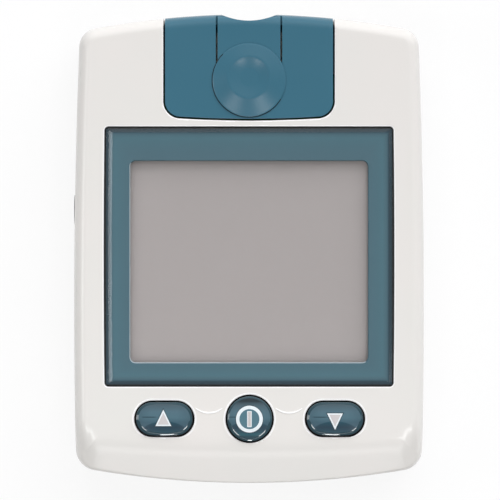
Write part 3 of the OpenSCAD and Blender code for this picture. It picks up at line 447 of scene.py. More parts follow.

# %% [markdown]
# ### Key caps
#
# The keys are clear caps over a dark teal print, and most of their colour is painted light. The caps
# stand a key pitch apart, so their distance to the nearest middle is the X coordinate wrapped to that
# pitch. One ramp runs up the cap for its body, a painted reflection of the room, lighter across the
# upper middle and darker at the top; one paints a glow low in the cap. A thin clear coat draws the surface.

# %% Key caps with painted reflection and painted glow
key_cap, tree, where = new_finish("teal_key_cap_painted_light")
axes = add(tree, "ShaderNodeSeparateXYZ", {"Vector": where})
centred = add(tree, "ShaderNodeMath", {0: axes.outputs["X"], 1: KEY_SHIFT * MM}, operation="SUBTRACT")
half_pitch = KEY_PITCH / 2 * MM
across = add(tree, "ShaderNodeMath", {0: centred, 1: half_pitch, 2: -half_pitch}, operation="WRAP")
up = add(tree, "ShaderNodeMath", {0: axes.outputs["Y"], 1: KEYS_Y * MM}, operation="SUBTRACT")
from_middle = add(tree, "ShaderNodeMath", {0: across}, operation="ABSOLUTE")

# Painted reflection of the room, running up the cap.
sky = add(tree, "ShaderNodeValToRGB", {"Fac": add(tree, "ShaderNodeMapRange", {
    "Value": up, "From Min": -1.5 * MM, "From Max": 3.3 * MM})}, stops=(
    (0.0, "#355868"), (1.0, "#26333a"), (0.18, "#375968"), (0.36, "#4b6d7a"), (0.6, "#4e6c79"),
    (0.84, "#485d67"), (0.93, "#3c4e57")))
# Painted glow: deep teal low in the cap.
depth = add(tree, "ShaderNodeValToRGB", {"Fac": add(tree, "ShaderNodeMapRange", {
    "Value": up, "From Min": -3.3 * MM, "From Max": -0.4 * MM})}, stops=(
    (0.0, "#0a3a46"), (1.0, "#0c4656"), (0.12, "#10525e"), (0.3, "#053c4c"), (0.6, "#043042")))

# %% [markdown]
# The painted glow fills an ellipse low in the cap, 4.3 mm to each side of its middle and 2 mm up and
# down from 2.45 mm below it. A point is inside where the squares of its two shares add up to less than 1.

# %% Painted glow low in the cap
share_x = add(tree, "ShaderNodeMath", {0: across, 1: 4.3 * MM}, operation="DIVIDE")
from_centre = add(tree, "ShaderNodeMath", {0: up, 1: 2.45 * MM}, operation="ADD")
share_y = add(tree, "ShaderNodeMath", {0: from_centre, 1: 2.0 * MM}, operation="DIVIDE")
square_x = add(tree, "ShaderNodeMath", {0: share_x, 1: share_x}, operation="MULTIPLY")
squares = add(tree, "ShaderNodeMath", {0: share_y, 1: share_y, 2: square_x}, operation="MULTIPLY_ADD")
in_painted_glow = add(tree, "ShaderNodeMapRange", {"Value": squares, "From Min": 1.08, "From Max": 0.86},
              interpolation_type="SMOOTHSTEP")
painted_glow = add(tree, "ShaderNodeMix", {"Factor": in_painted_glow, "A": sky, "B": depth}, data_type="RGBA")

# %% [markdown]
# A fine dark line, a painted reflection, runs from near the cap's left end towards the icon, and
# both ends of the cap get painted shade.

# %% Painted reflection line, painted shade at the ends, and surface
# Painted dark reflection line.
off_line = add(tree, "ShaderNodeMath", {0: up, 1: 0.34 * MM}, operation="SUBTRACT")
line_y = add(tree, "ShaderNodeMapRange", {
    "Value": add(tree, "ShaderNodeMath", {0: off_line}, operation="ABSOLUTE"), "From Min": 0.05 * MM,
    "From Max": 0.16 * MM, "To Min": 0.75, "To Max": 0.0})
line_x = add(tree, "ShaderNodeMapRange", {"Value": across, "From Min": -1.0 * MM, "From Max": -2.0 * MM})
line_end = add(tree, "ShaderNodeMapRange", {"Value": across, "From Min": -4.4 * MM, "From Max": -3.9 * MM})
line_part = add(tree, "ShaderNodeMath", {0: line_y, 1: line_x}, operation="MULTIPLY")
line = add(tree, "ShaderNodeMath", {0: line_part, 1: line_end}, operation="MULTIPLY")
colour = add(tree, "ShaderNodeMix", {"Factor": line, "A": painted_glow, "B": linear("#0e2c38")}, data_type="RGBA")
# Painted shade towards both ends of the cap.
ends = add(tree, "ShaderNodeMapRange", {
    "Value": from_middle, "From Min": 2.4 * MM, "From Max": 5.6 * MM, "To Max": 0.5})
with_painted_end_shade = add(tree, "ShaderNodeMix", {"Factor": ends, "A": colour, "B": linear("#2c4753")}, data_type="RGBA")
shader = add(tree, "ShaderNodeBsdfPrincipled", {
    "Base Color": with_painted_end_shade, "Roughness": 0.3, "IOR": 1.45, "Coat Weight": 0.3, "Coat Roughness": 0.03})
add(tree, "ShaderNodeOutputMaterial", {"Surface": shader})

# %% [markdown]
# Round the top of each cap runs a narrow polished bevel, buffed in strokes of about 0.5 mm. It shows
# little of its own colour and mirrors the lamps as short bright lines.

# %% Polished bevel of the caps
key_edge, tree, where = new_finish("polished_key_bevel")
buffing = add(tree, "ShaderNodeTexNoise", {"Vector": where, "Scale": 2000.0})
tone = add(tree, "ShaderNodeMix", {"Factor": buffing, "A": linear("#223f49"), "B": linear("#274650")},
           data_type="RGBA")
shader = add(tree, "ShaderNodeBsdfPrincipled", {
    "Base Color": tone, "Roughness": 0.08, "IOR": 1.5, "Coat Weight": 0.6, "Coat Roughness": 0.03})
add(tree, "ShaderNodeOutputMaterial", {"Surface": shader})

# %% [markdown]
# ### Printed icons
#
# The icons are screen-printed in white and grey, with a thin dark outline that parts them from the
# cap, and a lighter teal field inside the power ring. White and grey lie under a full coat, and the
# outline and the field under a thin one. A faint unevenness of the ink keeps them from looking cut
# out. One loop makes them from a table: name, two tones, the scale of the unevenness and the coat.

# %% Icon inks
INKS = {
    "white_icon_ink": ("#eef3f5", "#dfe9ee", 1500.0, 1.0),
    "grey_icon_ink": ("#c9c3c3", "#d2cdcd", 1500.0, 1.0),
    "dark_outline_ink": ("#1a3641", "#203e49", 1500.0, 0.3),
    "teal_field_ink": ("#446d7c", "#4d7684", 900.0, 0.3),
}
inks = {}
for name, (first, second, scale, coat) in INKS.items():
    inks[name], tree, where = new_finish(name)
    wear = add(tree, "ShaderNodeTexNoise", {"Vector": where, "Scale": scale})
    tone = add(tree, "ShaderNodeMix", {"Factor": wear, "A": linear(first), "B": linear(second)},
               data_type="RGBA")
    shader = add(tree, "ShaderNodeBsdfPrincipled", {
        "Base Color": tone, "Roughness": 0.4, "Coat Weight": coat, "Coat Roughness": 0.03})
    add(tree, "ShaderNodeOutputMaterial", {"Surface": shader})

# %% [markdown]
# ### The window and its printed border
#
# The window is clear acrylic, 1.3 mm thick, with polished bevels. Its back is printed teal round
# the display. A glass shader would bend the light, but a plate as thin as this hardly does, and
# lamps can't be found through glass by direct sampling. So the acrylic is plainly transparent, with
# a mirror over it whose share follows Fresnel's law, on the outer side of each face only. Handling
# has left a haze in patches of about 3 mm, which varies the polish.

# %% Clear acrylic
acrylic, tree, where = new_finish("clear_acrylic")
haze = add(tree, "ShaderNodeTexNoise", {"Vector": where, "Scale": 300.0, "Detail": 3.0})
polish = add(tree, "ShaderNodeMapRange", {"Value": haze, "To Min": 0.02, "To Max": 0.06})
clear = add(tree, "ShaderNodeBsdfTransparent", {"Color": (0.97, 0.975, 0.975, 1.0)})
gloss = add(tree, "ShaderNodeBsdfGlossy", {"Color": (1, 1, 1, 1), "Roughness": polish})
fresnel = add(tree, "ShaderNodeFresnel", {"IOR": 1.49})
outside = add(tree, "ShaderNodeMath", {0: 1.0, 1: add(tree, "ShaderNodeNewGeometry").outputs["Backfacing"]},
              operation="SUBTRACT")
share = add(tree, "ShaderNodeMath", {0: fresnel, 1: outside}, operation="MULTIPLY")
both = add(tree, "ShaderNodeMixShader", {0: share, 1: clear, 2: gloss})
add(tree, "ShaderNodeOutputMaterial", {"Surface": both})

# %% [markdown]
# Ink and tape wet the back and the sides of the acrylic, so those faces reflect nothing of their
# own. How well they wet it varies over about 5 mm.

# %% Bonded faces of the acrylic
bonded, tree, where = new_finish("acrylic_bonded_face")
fade = add(tree, "ShaderNodeTexNoise", {"Vector": where, "Scale": 200.0})
tint = add(tree, "ShaderNodeMix", {"Factor": fade, "A": (0.97, 0.975, 0.975, 1.0), "B": (0.96, 0.97, 0.97, 1.0)},
           data_type="RGBA")
clear = add(tree, "ShaderNodeBsdfTransparent", {"Color": tint})
add(tree, "ShaderNodeOutputMaterial", {"Surface": clear})

# %% [markdown]
# The print is a soft slate teal. Its tone follows the distance from the window's edge, up to 5 mm:
# near black at the very edge and dark under the bevels, which is painted shade, and lighter over the
# middle of the border, which is a painted reflection.

# %% Border print with painted shade and painted reflection
border_print_painted_light, tree, where = new_finish("teal_border_print_painted_light")
axes = add(tree, "ShaderNodeSeparateXYZ", {"Vector": where})
side = add(tree, "ShaderNodeMath", {0: axes.outputs["X"]}, operation="ABSOLUTE")
side_gap = add(tree, "ShaderNodeMath", {0: WINDOW_W / 2 * MM, 1: side}, operation="SUBTRACT")
along = add(tree, "ShaderNodeMath", {0: axes.outputs["Y"], 1: WINDOW_Y * MM}, operation="SUBTRACT")
along_abs = add(tree, "ShaderNodeMath", {0: along}, operation="ABSOLUTE")
end_gap = add(tree, "ShaderNodeMath", {0: WINDOW_L / 2 * MM, 1: along_abs}, operation="SUBTRACT")
edge = add(tree, "ShaderNodeMath", {0: side_gap, 1: end_gap}, operation="MINIMUM")
share = add(tree, "ShaderNodeMapRange", {"Value": edge, "From Min": 0.0, "From Max": 5.0 * MM})
# Painted shade near the edge and under the bevels, painted reflection in the middle.
ramp = add(tree, "ShaderNodeValToRGB", {"Fac": share}, stops=(
    (0.04, "#05090b"), (0.95, "#466976"), (0.06, "#12323f"), (0.17, "#173c4a"), (0.22, "#395d6b"),
    (0.27, "#436773"), (0.4, "#466f7c"), (0.6, "#456b78")))
shader = add(tree, "ShaderNodeBsdfPrincipled", {"Base Color": ramp, "Roughness": 0.5, "IOR": 1.49})
add(tree, "ShaderNodeOutputMaterial", {"Surface": shader})

# %% [markdown]
# Where the print ends round the display, its rim gets a pale painted highlight on the faces that look
# towards the light. Its tone varies over about 2 mm.

# %% Painted highlight on the print's rim
rim_highlight, tree, where = new_finish("print_rim_painted_highlight")
shade = add(tree, "ShaderNodeTexNoise", {"Vector": where, "Scale": 500.0})
tone = add(tree, "ShaderNodeMix", {"Factor": shade, "A": linear("#b6c3c9"), "B": linear("#aab8bf")},
           data_type="RGBA")
shader = add(tree, "ShaderNodeBsdfPrincipled", {"Base Color": tone, "Roughness": 0.5})
add(tree, "ShaderNodeOutputMaterial", {"Surface": shader})

# %% [markdown]
# ### The display
#
# The switched-off display is a reflective liquid-crystal cell: a warm grey polariser with a fine
# brushed reflector behind it. Its grain is a few hundredths of a millimetre; it is drawn in strokes
# of 0.2 by 1.1 mm so that it just breaks the flatness.

# %% Reflective display
polariser, tree, where = new_finish("warm_grey_polariser")
stretch = add(tree, "ShaderNodeMapping", {"Vector": where, "Scale": (1.0, 6.0, 1.0)})
grain = add(tree, "ShaderNodeTexNoise", {"Vector": stretch, "Scale": 900.0, "Detail": 3.0})
tone = add(tree, "ShaderNodeMix", {"Factor": grain, "A": linear("#beb4b2"), "B": linear("#b9afad")},
           data_type="RGBA")
shader = add(tree, "ShaderNodeBsdfPrincipled", {"Base Color": tone, "Roughness": 0.45, "IOR": 1.5})
add(tree, "ShaderNodeOutputMaterial", {"Surface": shader})

# %% [markdown]
# The front glass of the cell is bare and lies in the shade of the border, so it only adds a weak
# reflection above the grey film. Smears of about 4 mm vary it.

# %% Front glass of the display
cell_glass, tree, where = new_finish("display_cell_glass")
film = add(tree, "ShaderNodeTexNoise", {"Vector": where, "Scale": 250.0})
smear = add(tree, "ShaderNodeMapRange", {"Value": film, "To Min": 0.04, "To Max": 0.09})
clear = add(tree, "ShaderNodeBsdfTransparent", {"Color": (0.98, 0.98, 0.98, 1.0)})
gloss = add(tree, "ShaderNodeBsdfGlossy", {"Color": (1, 1, 1, 1), "Roughness": smear})
both = add(tree, "ShaderNodeMixShader", {0: 0.02, 1: clear, 2: gloss})
add(tree, "ShaderNodeOutputMaterial", {"Surface": both})

# %% [markdown]
# ### Finishes inside the casing
#
# The hidden pieces are ordinary materials, so one loop makes them from a short table: name, two
# tones, the size of their pattern in millimetres, roughness, metallic and bump.

# %% Inner finishes
INNER = {
    "black_foam_tape": ("#1f1f21", "#29292b", 0.3, 0.9, 0.0, 0.4),
    "natural_nylon": ("#e2dfd5", "#d9d6cb", 2.0, 0.45, 0.0, 0.05),
    "black_moulded_component": ("#1c1c1e", "#242427", 0.4, 0.5, 0.0, 0.1),
    "grey_silicone": ("#a2a2a2", "#989898", 1.5, 0.6, 0.0, 0.05),
    "carbon_rubber": ("#121212", "#1a1a1a", 0.5, 0.7, 0.0, 0.1),
    "green_solder_mask": ("#1b5c33", "#226b3d", 3.0, 0.35, 0.0, 0.05),
    "gold_flash": ("#d8ab52", "#caa04c", 1.0, 0.25, 1.0, 0.02),
    "bright_nickel": ("#c9c9ca", "#bfbfc1", 0.8, 0.22, 1.0, 0.02),
    "zinc_plate": ("#9b9b9f", "#8b8c92", 0.5, 0.35, 1.0, 0.05),
    "plain_cell_jacket": ("#b9bbbf", "#b1b4b8", 4.0, 0.3, 0.8, 0.02),
}
inner = {}
for name, (first, second, size, roughness, metallic, strength) in INNER.items():
    inner[name], tree, where = new_finish(name)
    pattern = add(tree, "ShaderNodeTexNoise", {"Vector": where, "Scale": 1000.0 / size, "Detail": 3.0})
    tone = add(tree, "ShaderNodeMix", {"Factor": pattern, "A": linear(first), "B": linear(second)},
               data_type="RGBA")
    bump = add(tree, "ShaderNodeBump", {"Height": pattern, "Strength": strength, "Distance": 0.0001})
    shader = add(tree, "ShaderNodeBsdfPrincipled", {
        "Base Color": tone, "Roughness": roughness, "Metallic": metallic, "Normal": bump})
    add(tree, "ShaderNodeOutputMaterial", {"Surface": shader})
print("finishes in all:", len(bpy.data.materials))


# %% [markdown]
# ## The display half of the casing
#
# From the seam the wall rises straight, rolls over in a quarter ellipse and runs flat. Below the
# keys the face slopes down as a chin: a very flat cone whose edge from above is a long arc. The
# lower of the two surfaces wins, and where they meet a smooth minimum turns the crease into a
# soft radius, which is what catches the light at the chin's two corners.


# %% Skin of the display half
def soft_min(a, b, reach):
    """The lower of a and b, rounded off where they differ by less than reach."""
    h = np.clip(0.5 + 0.5 * (b - a) / reach, 0, 1)
    return b * (1 - h) + a * h - reach * h * (1 - h)


def chin_height(points, skin=0.0):
    """Face height less tan(20 degrees) times the distance beyond the crease's arc. A skin moves the
    slope inwards by its thickness."""
    beyond = np.hypot(points[:, 0], points[:, 1] - CHIN_Y - CHIN_R) - CHIN_R
    return FACE_Z - beyond * math.tan(CHIN_ANGLE) - skin / math.cos(CHIN_ANGLE)


CORNER_X, CORNER_REACH, CORNER_TOP_Y, CORNER_FADE = 28.0, 2.5, CHIN_Y + 3.8, 4.5


def corner_drop(points):
    """How much lower the face lies near the chin's two corners. Beyond 28 mm from the middle a slope
    grows to the chin's own over 2.5 mm. All of it fades in, in an S, over the 4.5 mm below the top
    of the corner."""
    out = np.abs(points[:, 0]) - CORNER_X
    fall = np.where(out < CORNER_REACH, np.clip(out, 0, None) ** 2 / (2 * CORNER_REACH), out - CORNER_REACH / 2)
    fade = np.clip((CORNER_TOP_Y - points[:, 1]) / CORNER_FADE, 0, 1)
    return math.tan(CHIN_ANGLE) * fall * fade ** 2 * (3 - 2 * fade)


def display_skin(start, skin=0.0, roof=FACE_Z):
    """Rings from the given start up the wall, over the roll-off and about a quarter of the way to
    the middle, with every height softly limited by the chin and lowered at its corners."""
    roll_w, roll_h = max(ROLL_W - skin, 0.5), max(ROLL_H - skin, 0.5)
    turns = np.radians(np.linspace(90, 0, 15))
    stack = list(start)
    stack += [(skin + roll_w * (1 - math.sin(a)), roof - roll_h * (1 - math.cos(a))) for a in turns]
    rings = [level(casing_outline(inset), z) for inset, z in stack]
    rim = casing_outline(skin + roll_w)
    rings += [level(rim * (1 - shrink), roof) for shrink in np.linspace(0, 0.24, 29)[1:]]
    crease = 0.8 if skin == 0 else 0.1
    for ring in rings[len(start):]:
        ring[:, 2] = soft_min(ring[:, 2], chin_height(ring, skin), crease) - corner_drop(ring)
    return loft(rings)


seam_z, seam_chamfer = PART_Z + SEAM / 2, 0.15
seam_edge = [(seam_chamfer, seam_z), (0.0, seam_z + seam_chamfer)]
lip = WALL - LIP_T
cover = mesh_object("front_cover_moulding", display_skin([(lip, PART_Z - LIP_H), (lip, seam_z)] + seam_edge))
cavity = display_skin([(WALL, PART_Z - LIP_H - 1)], WALL, FACE_UNDER)
print("display half:", len(cover.data.vertices), "vertices before cutting")

# %% [markdown]
# ### Openings in the face
#
# Moulded edges are never razor sharp. Each cutter widens where it leaves the face, by a quarter
# round or a chamfer, and that narrow bright line round the bezel, the window and the keys, which
# also gets a painted highlight below, is a large part of what makes the casing look moulded.


# %% Cut the openings
def rounded_mouth(bottom, gap, radius, top=FACE_Z):
    """(height, offset) levels of a cutter that leaves a quarter round of that radius at the top."""
    turns = np.radians(np.linspace(0, 90, 6))
    edge = [(top - radius + radius * math.sin(a), gap + radius - radius * math.cos(a)) for a in turns]
    return [(bottom, gap)] + edge + [(top + 1, gap + radius + 0.01)]


def window_outline(offset):
    """The window's rectangle grown by offset, with small corners and sides bowed by 0.15 mm."""
    return rounded_rect(WINDOW_W, WINDOW_L, 0.6, offset, (0, WINDOW_Y), bow=0.15)


def well_outline(offset):
    """The well in the face below the window, through which the display is seen."""
    return rounded_rect(47.0, 40.0, 1.5, offset, (0, DISPLAY_Y))


side_key, round_key = (KEY_W - KEY_L, KEY_L / 2 - KEY_TRIM), (0.0, POWER_D / 2 - POWER_TRIM)
key_places = [("up_key", KEY_SHIFT - KEY_PITCH, *side_key), ("power_key", KEY_SHIFT, *round_key),
              ("down_key", KEY_SHIFT + KEY_PITCH, *side_key)]
key_mouth = [(FACE_UNDER - 1, 0.0), (FACE_Z - 0.25, 0.0), (FACE_Z - 0.12, 0.06), (FACE_Z - 0.05, 0.18),
             (FACE_Z, 0.44), (FACE_Z + 1, 0.49)]
cuts = [
    cavity,
    prism(bezel_outline, rounded_mouth(PART_Z - LIP_H - 1, 0.2, 0.3)),
    prism(window_outline, rounded_mouth(POCKET_Z, 0.17, 0.22)),
    prism(well_outline, [(FACE_UNDER - 1, 0), (FACE_Z, 0)]),
    drum("x", (-BODY_W, JACK_Y, PART_Z), JACK_HOLE_R, BODY_W / 2 + WALL + 2),
]
for _, x, straight, radius in key_places:
    cuts.append(prism(lambda g: racetrack(straight, radius + g, (x, KEYS_Y)),
                      [(z, KEY_GAP + wider) for z, wider in key_mouth]))
combine(cover, cuts)
smooth(cover, 35)
finish_piece(cover, "casing", "shell", pearl, "front_cover")

# %% [markdown]
# The lips get a painted highlight, and the walls of the gaps painted shade, near black. A face
# belongs to one of them if all of its corners lie near enough to an opening's outline and at the right height.


# %% Painted highlight on the lips and painted shade in the gaps
def distance_to(loop, points):
    """Each point's distance to the nearest segment of a closed loop: the foot of the perpendicular,
    held between the segment's ends."""
    start, way = loop, np.roll(loop, -1, axis=0) - loop
    offset = points[:, None] - start
    share = np.clip((offset * way).sum(-1) / np.maximum((way ** 2).sum(-1), 1e-12), 0, 1)
    return np.linalg.norm(offset - share[..., None] * way, axis=-1).min(axis=1)


# Each row: the outline, the lip highlight's reach from it, and the painted wall shade's reach, top and bottom.
mouths = [(bezel_outline(), 0.5, 0.32, FACE_Z - 0.18, FACE_UNDER),
          (window_outline(0.0), 0.4, 0.32, FACE_Z - 0.18, FACE_UNDER)]
mouths += [(racetrack(straight, radius, (x, KEYS_Y)), KEY_GAP + 0.46, KEY_GAP + 0.1, FACE_Z - 0.1, 0.0)
           for _, x, straight, radius in key_places]
points = points_of(cover)
at_highlight_lip, in_painted_shade = np.zeros((2, len(points)), bool)
for loop, highlight_reach, wall_reach, wall_top, wall_bottom in mouths:
    away = distance_to(loop, points[:, :2])
    at_highlight_lip |= (away < highlight_reach) & (points[:, 2] > FACE_Z - 0.4)
    in_painted_shade |= (away < wall_reach) & (points[:, 2] < wall_top) & (points[:, 2] > wall_bottom)
highlight_lips, gaps = (over_corners(cover, marked, np.logical_and) for marked in (at_highlight_lip, in_painted_shade))
# Lips get the painted highlight, gap walls the painted shade.
repaint(cover, [lip_highlight, gap_shade], np.where(gaps, 2, highlight_lips))

# %% [markdown]
# ### The raised lines between the keys
#
# A thin raised line hangs between the round key and each side key, in the lips' whiter finish, which
# is a painted highlight. Each is a low bead along a short arc: at each point of the arc an ellipse
# stands across it, half sunk in the face, and the ellipses shrink towards both ends.


# %% Sweep the beads
def bead(centre, radius, reach, width, height):
    """Ellipses of that width and height, turned along an arc of +-reach round its lowest point, and
    scaled by the fourth root of the sine of the share of the way, so that the ends close."""
    share = np.linspace(0.002, 0.998, 60)
    turn = np.radians(-90 + reach * (2 * share - 1))[:, None]
    a = np.radians(np.arange(0, 360, 30))
    taper = np.sin(np.pi * share)[:, None] ** 0.25
    r = radius + width / 2 * np.cos(a) * taper
    x, y = centre[0] + r * np.cos(turn), centre[1] + r * np.sin(turn)
    return loft(np.stack([x, y, FACE_Z + height * np.sin(a) * taper], axis=-1)[::-1])


RIDGE_R, RIDGE_W, RIDGE_H, RIDGE_UP, RIDGE_CLEAR = 4.0, 0.36, 0.12, 1.1, 1.0
between = KEY_PITCH - KEY_W / 2 - POWER_D / 2
reach = math.degrees(math.asin((between - RIDGE_CLEAR) / 2 / RIDGE_R))
for side, name in ((-1, "left_ridge"), (1, "right_ridge")):
    middle = (side * (POWER_D + between) / 2, KEYS_Y + RIDGE_UP + RIDGE_R)
    ridge = mesh_object(name, bead(middle, RIDGE_R, reach, RIDGE_W, RIDGE_H))
    # The bead wears the lips' painted highlight.
    finish_piece(smooth(ridge, 60), "casing", "shell", lip_highlight)

# %% [markdown]
# ## The port bezel
#
# The bezel fills the cut-out in the upper end and follows the casing's own skin, so it is made
# from that skin: the part of it inside the bezel's outline, hollowed to a plate with an end wall.
# A channel for the ejector's tongue, the finger scallop and the strip's slot are cut from it.


# %% Cut the bezel from the casing's skin
def skin_part(name, inside):
    """The part of the casing's outer shape that lies inside a solid."""
    return combine(mesh_object(name, display_skin(seam_edge)), [inside], "INTERSECT")


BEZEL_TRIM, BEZEL_EDGE_R = 0.1, 0.12
face_trim = -BEZEL_TRIM - BEZEL_EDGE_R
edge_round = [(PART_Z - 1, -BEZEL_TRIM)] + [
    (FACE_Z + BEZEL_EDGE_R * (math.sin(a) - 1), face_trim + BEZEL_EDGE_R * math.cos(a))
    for a in np.radians(np.linspace(0, 80, 5))] + [(FACE_Z + 1, face_trim)]
bezel = skin_part("port_bezel_moulding", prism(bezel_outline, edge_round))
hollow = mesh_object("hollow", display_skin([(PORT_WALL, PART_Z - 2)], PORT_WALL, FACE_Z - BEZEL_T))
combine(hollow, [drum("z", (0, SCALLOP_Y, 0), SCALLOP_R + PORT_WALL, 40)])
scallop = drum("z", (0, SCALLOP_Y, 0), SCALLOP_R, 40, 160)

# %% [markdown]
# The strip's slot is a flat tunnel whose mouth opens at an angle, so that it leads the strip in. The
# tongue's channel gets a narrow slit down each side, a little wider and deeper than the play the
# tongue needs, because the gaps beside it look black in the photograph.

# %% Slot, channel and slits
SLOT_DEEP, FUNNEL_L, FUNNEL_H = 5.0, 0.8, 0.8
SLIT_IN, SLIT_OUT, SLIT_DEEP = 0.1, 0.07, 0.3
channel, floor_z = TONGUE_W / 2 + FLOAT, FACE_Z - TONGUE_T - FLOAT
mouth_y = TOP_Y - SCALLOP_DEPTH
lower_half = np.array([(mouth_y - SLOT_DEEP, -SLOT_H / 2), (mouth_y - FUNNEL_L, -SLOT_H / 2),
                       (mouth_y + 1, -SLOT_H / 2 - FUNNEL_H)])
slot_profile = np.concatenate([lower_half, lower_half[::-1] * [1, -1]])
slot = loft([np.column_stack([np.full(6, x), slot_profile + [0, SLOT_Z]]) for x in (-SLOT_W / 2, SLOT_W / 2)])
along = (TONGUE_LOW_Y - FLOAT, TOP_Y + 2)
slits = [box(sorted((side * (TONGUE_W / 2 - SLIT_IN), side * (channel + SLIT_OUT))), along,
             (floor_z - SLIT_DEEP, FACE_Z + 2)) for side in (-1, 1)]
combine(bezel, [hollow, box((-channel, channel), along, (floor_z, FACE_Z + 2)), scallop, slot] + slits)
smooth(bezel, 30)
finish_piece(bezel, "casing", "teal_plastic", teal, "port_bezel")

# Painted shade: the walls and floors of the slits beside the tongue, and the bezel's outer wall, get the
# near-black gap finish.
points = points_of(bezel)
beyond_tongue = np.abs(points[:, 0]) - TONGUE_W / 2
beside = (beyond_tongue > -SLIT_IN - 0.015) & (beyond_tongue < FLOAT + 0.045)
at_wall = (distance_to(bezel_outline(-BEZEL_TRIM), points[:, :2]) < 0.04) & (points[:, 2] < FACE_Z - 0.1)
gaps = over_corners(bezel, beside | at_wall, np.logical_and)
upright = np.abs(faces_of(bezel, "normal")[:, 2]) < 0.5
centres = faces_of(bezel, "center") / MM
repaint(bezel, [gap_shade], gaps & (upright | (centres[:, 2] < floor_z - 0.2)) & (centres[:, 1] < TOP_Y - 1.5))

# %% [markdown]
# ## The ejector
#
# A tongue slides in the bezel's channel and carries a round thumb rest. Seen in the photograph's
# light it is a low hill with a bowl in its crest, a little above its centre. Its surface is a set
# of rings: up the flank they shrink and their centre moves up, and then they go down into the
# bowl. Eccentric rings like these need no Boolean.


# %% Thumb rest
REST_FOOT, REST_EDGE, REST_CREST, BOWL_DEPTH = FACE_Z + 0.08, FACE_Z + 0.34, FACE_Z + 0.98, 0.45


def thumb_rest():
    """Rings (radius, height, centre shift): a steep narrow edge, a flank that climbs evenly while
    its rings' centre moves up, a rounded crest, and a bowl whose depth falls off with the square of
    the radius."""
    flank, bowl = np.linspace(0, 1, 14), np.linspace(1, 0.02, 16)
    out, crest_r, bowl_r = DISH_R - 0.2, BOSS_R + 0.15, BOSS_R - 0.2
    stack = [(DISH_R - 0.3, REST_FOOT, 0), (DISH_R, REST_FOOT + 0.03, 0), (DISH_R - 0.13, REST_EDGE - 0.04, 0)]
    stack += [(out + (crest_r - out) * t, REST_EDGE + (REST_CREST - REST_EDGE) * t, BOSS_UP * t) for t in flank]
    stack += [(BOSS_R + 0.04, REST_CREST + 0.012, BOSS_UP), (BOSS_R - 0.08, REST_CREST + 0.006, BOSS_UP)]
    stack += [(bowl_r * t, REST_CREST - 0.01 - BOWL_DEPTH * (1 - t * t), BOSS_UP) for t in bowl]
    return loft([level(circle(r, (0, DISH_Y + shift), 128), z) for r, z, shift in stack])


# %% [markdown]
# The tongue is cut from the casing's skin as the bezel was, so its end follows the arched edge. A
# core inside joins the thumb rest to it, and a stem reaches down to the carrier. The edge of the
# rest that looks away from the light, to the lower left, is painted near black as its shade.

# %% Tongue
TONGUE_TRIM, CORE_R, STEM_HALF_W, STEM_HALF_L, STEM_Z = 0.08, 2.4, 1.6, 1.5, 18.06
half_w = TONGUE_W / 2 - TONGUE_TRIM
tongue = skin_part("ejector_button_moulding", box(
    (-half_w, half_w), (TONGUE_LOW_Y, TOP_Y + 2), (FACE_Z - TONGUE_T, FACE_Z + 2)))
combine(tongue, [scallop])
combine(tongue, [
    box((-STEM_HALF_W, STEM_HALF_W), (DISH_Y - STEM_HALF_L, DISH_Y + STEM_HALF_L), (STEM_Z, FACE_Z - 0.2)),
    drum("z", (0, DISH_Y, FACE_Z - 0.3), CORE_R, 0.9),
    thumb_rest()], "UNION")
smooth(tongue, 30)
finish_piece(tongue, "ejector", "teal_plastic", teal, "ejector_button")

# Painted shade: the rim's faces that look away from the light get the near-black gap finish.
points = points_of(tongue)
reach = np.hypot(points[:, 0], points[:, 1] - DISH_Y)
at_rim = (reach > DISH_R - 0.16) & (reach < DISH_R + 0.01) & (points[:, 2] > FACE_Z + 0.05)
to_light = faces_of(tongue, "normal") @ [0.6, 0.8, 0.0]
repaint(tongue, [gap_shade], over_corners(tongue, at_rim, np.logical_and) & (to_light < 0.1))

# %% [markdown]
# ## Window, printed border and display
#
# The window is a plate with polished bevels that stands in its pocket. The border is printed on
# its back, so it is a thin sheet just under the acrylic, with the viewing area left open. Its
# inner rim turns down a little towards the display, and where that rim faces the light it gets
# a fine pale line of painted highlight.

# %% Window
ink_z = POCKET_Z + 0.15


def bevel_ring(side_share, end_share, z):
    """The window's outline drawn in by those shares of the bevel, at its sides and at its ends."""
    side = WINDOW_PLAY + side_share * (BEVEL_SIDE_W - WINDOW_PLAY)
    end = WINDOW_PLAY + end_share * (BEVEL_END_W - WINDOW_PLAY)
    squeeze = (WINDOW_W / 2 - side) / (WINDOW_W / 2 - end)
    return level(window_outline(-end) * [squeeze, 1], z)


window = mesh_object("display_window_acrylic", loft([
    level(window_outline(-WINDOW_PLAY - 0.03), ink_z + 0.03), level(window_outline(-WINDOW_PLAY), ink_z + 0.07),
    bevel_ring(0, 0, WINDOW_TOP_Z - BEVEL_H), bevel_ring(0.45, 0.58, WINDOW_TOP_Z - 0.42 * BEVEL_H),
    bevel_ring(1, 1, WINDOW_TOP_Z)]))
smooth(window, 4)
finish_piece(window, "casing", "window", acrylic, "display_window")
repaint(window, [bonded], faces_of(window, "normal")[:, 2] < 0.2)


# %% Border print
def view_outline(offset):
    """The visible part of the display, grown by offset."""
    return rounded_rect(VIEW_W, VIEW_L, VIEW_R, offset, (0, DISPLAY_Y))


border = mesh_object("window_border_print", loft([level(ring, ink_z + z) for ring, z in (
    (window_outline(0.14), 0.002), (window_outline(0.14), 0.024), (view_outline(0.17), 0.024),
    (view_outline(0.0), -0.35), (view_outline(0.6), -0.35), (view_outline(0.6), 0.002))], endless=True))
smooth(border, 30)
finish_piece(border, "casing", "window", border_print_painted_light)
across, along, up = faces_of(border, "normal").T
# Painted highlight: only the rim's faces that look towards +X and +Y, towards the light.
repaint(border, [rim_highlight], (up > 0.2) & (up < 0.95) & (across + along > 0.1))

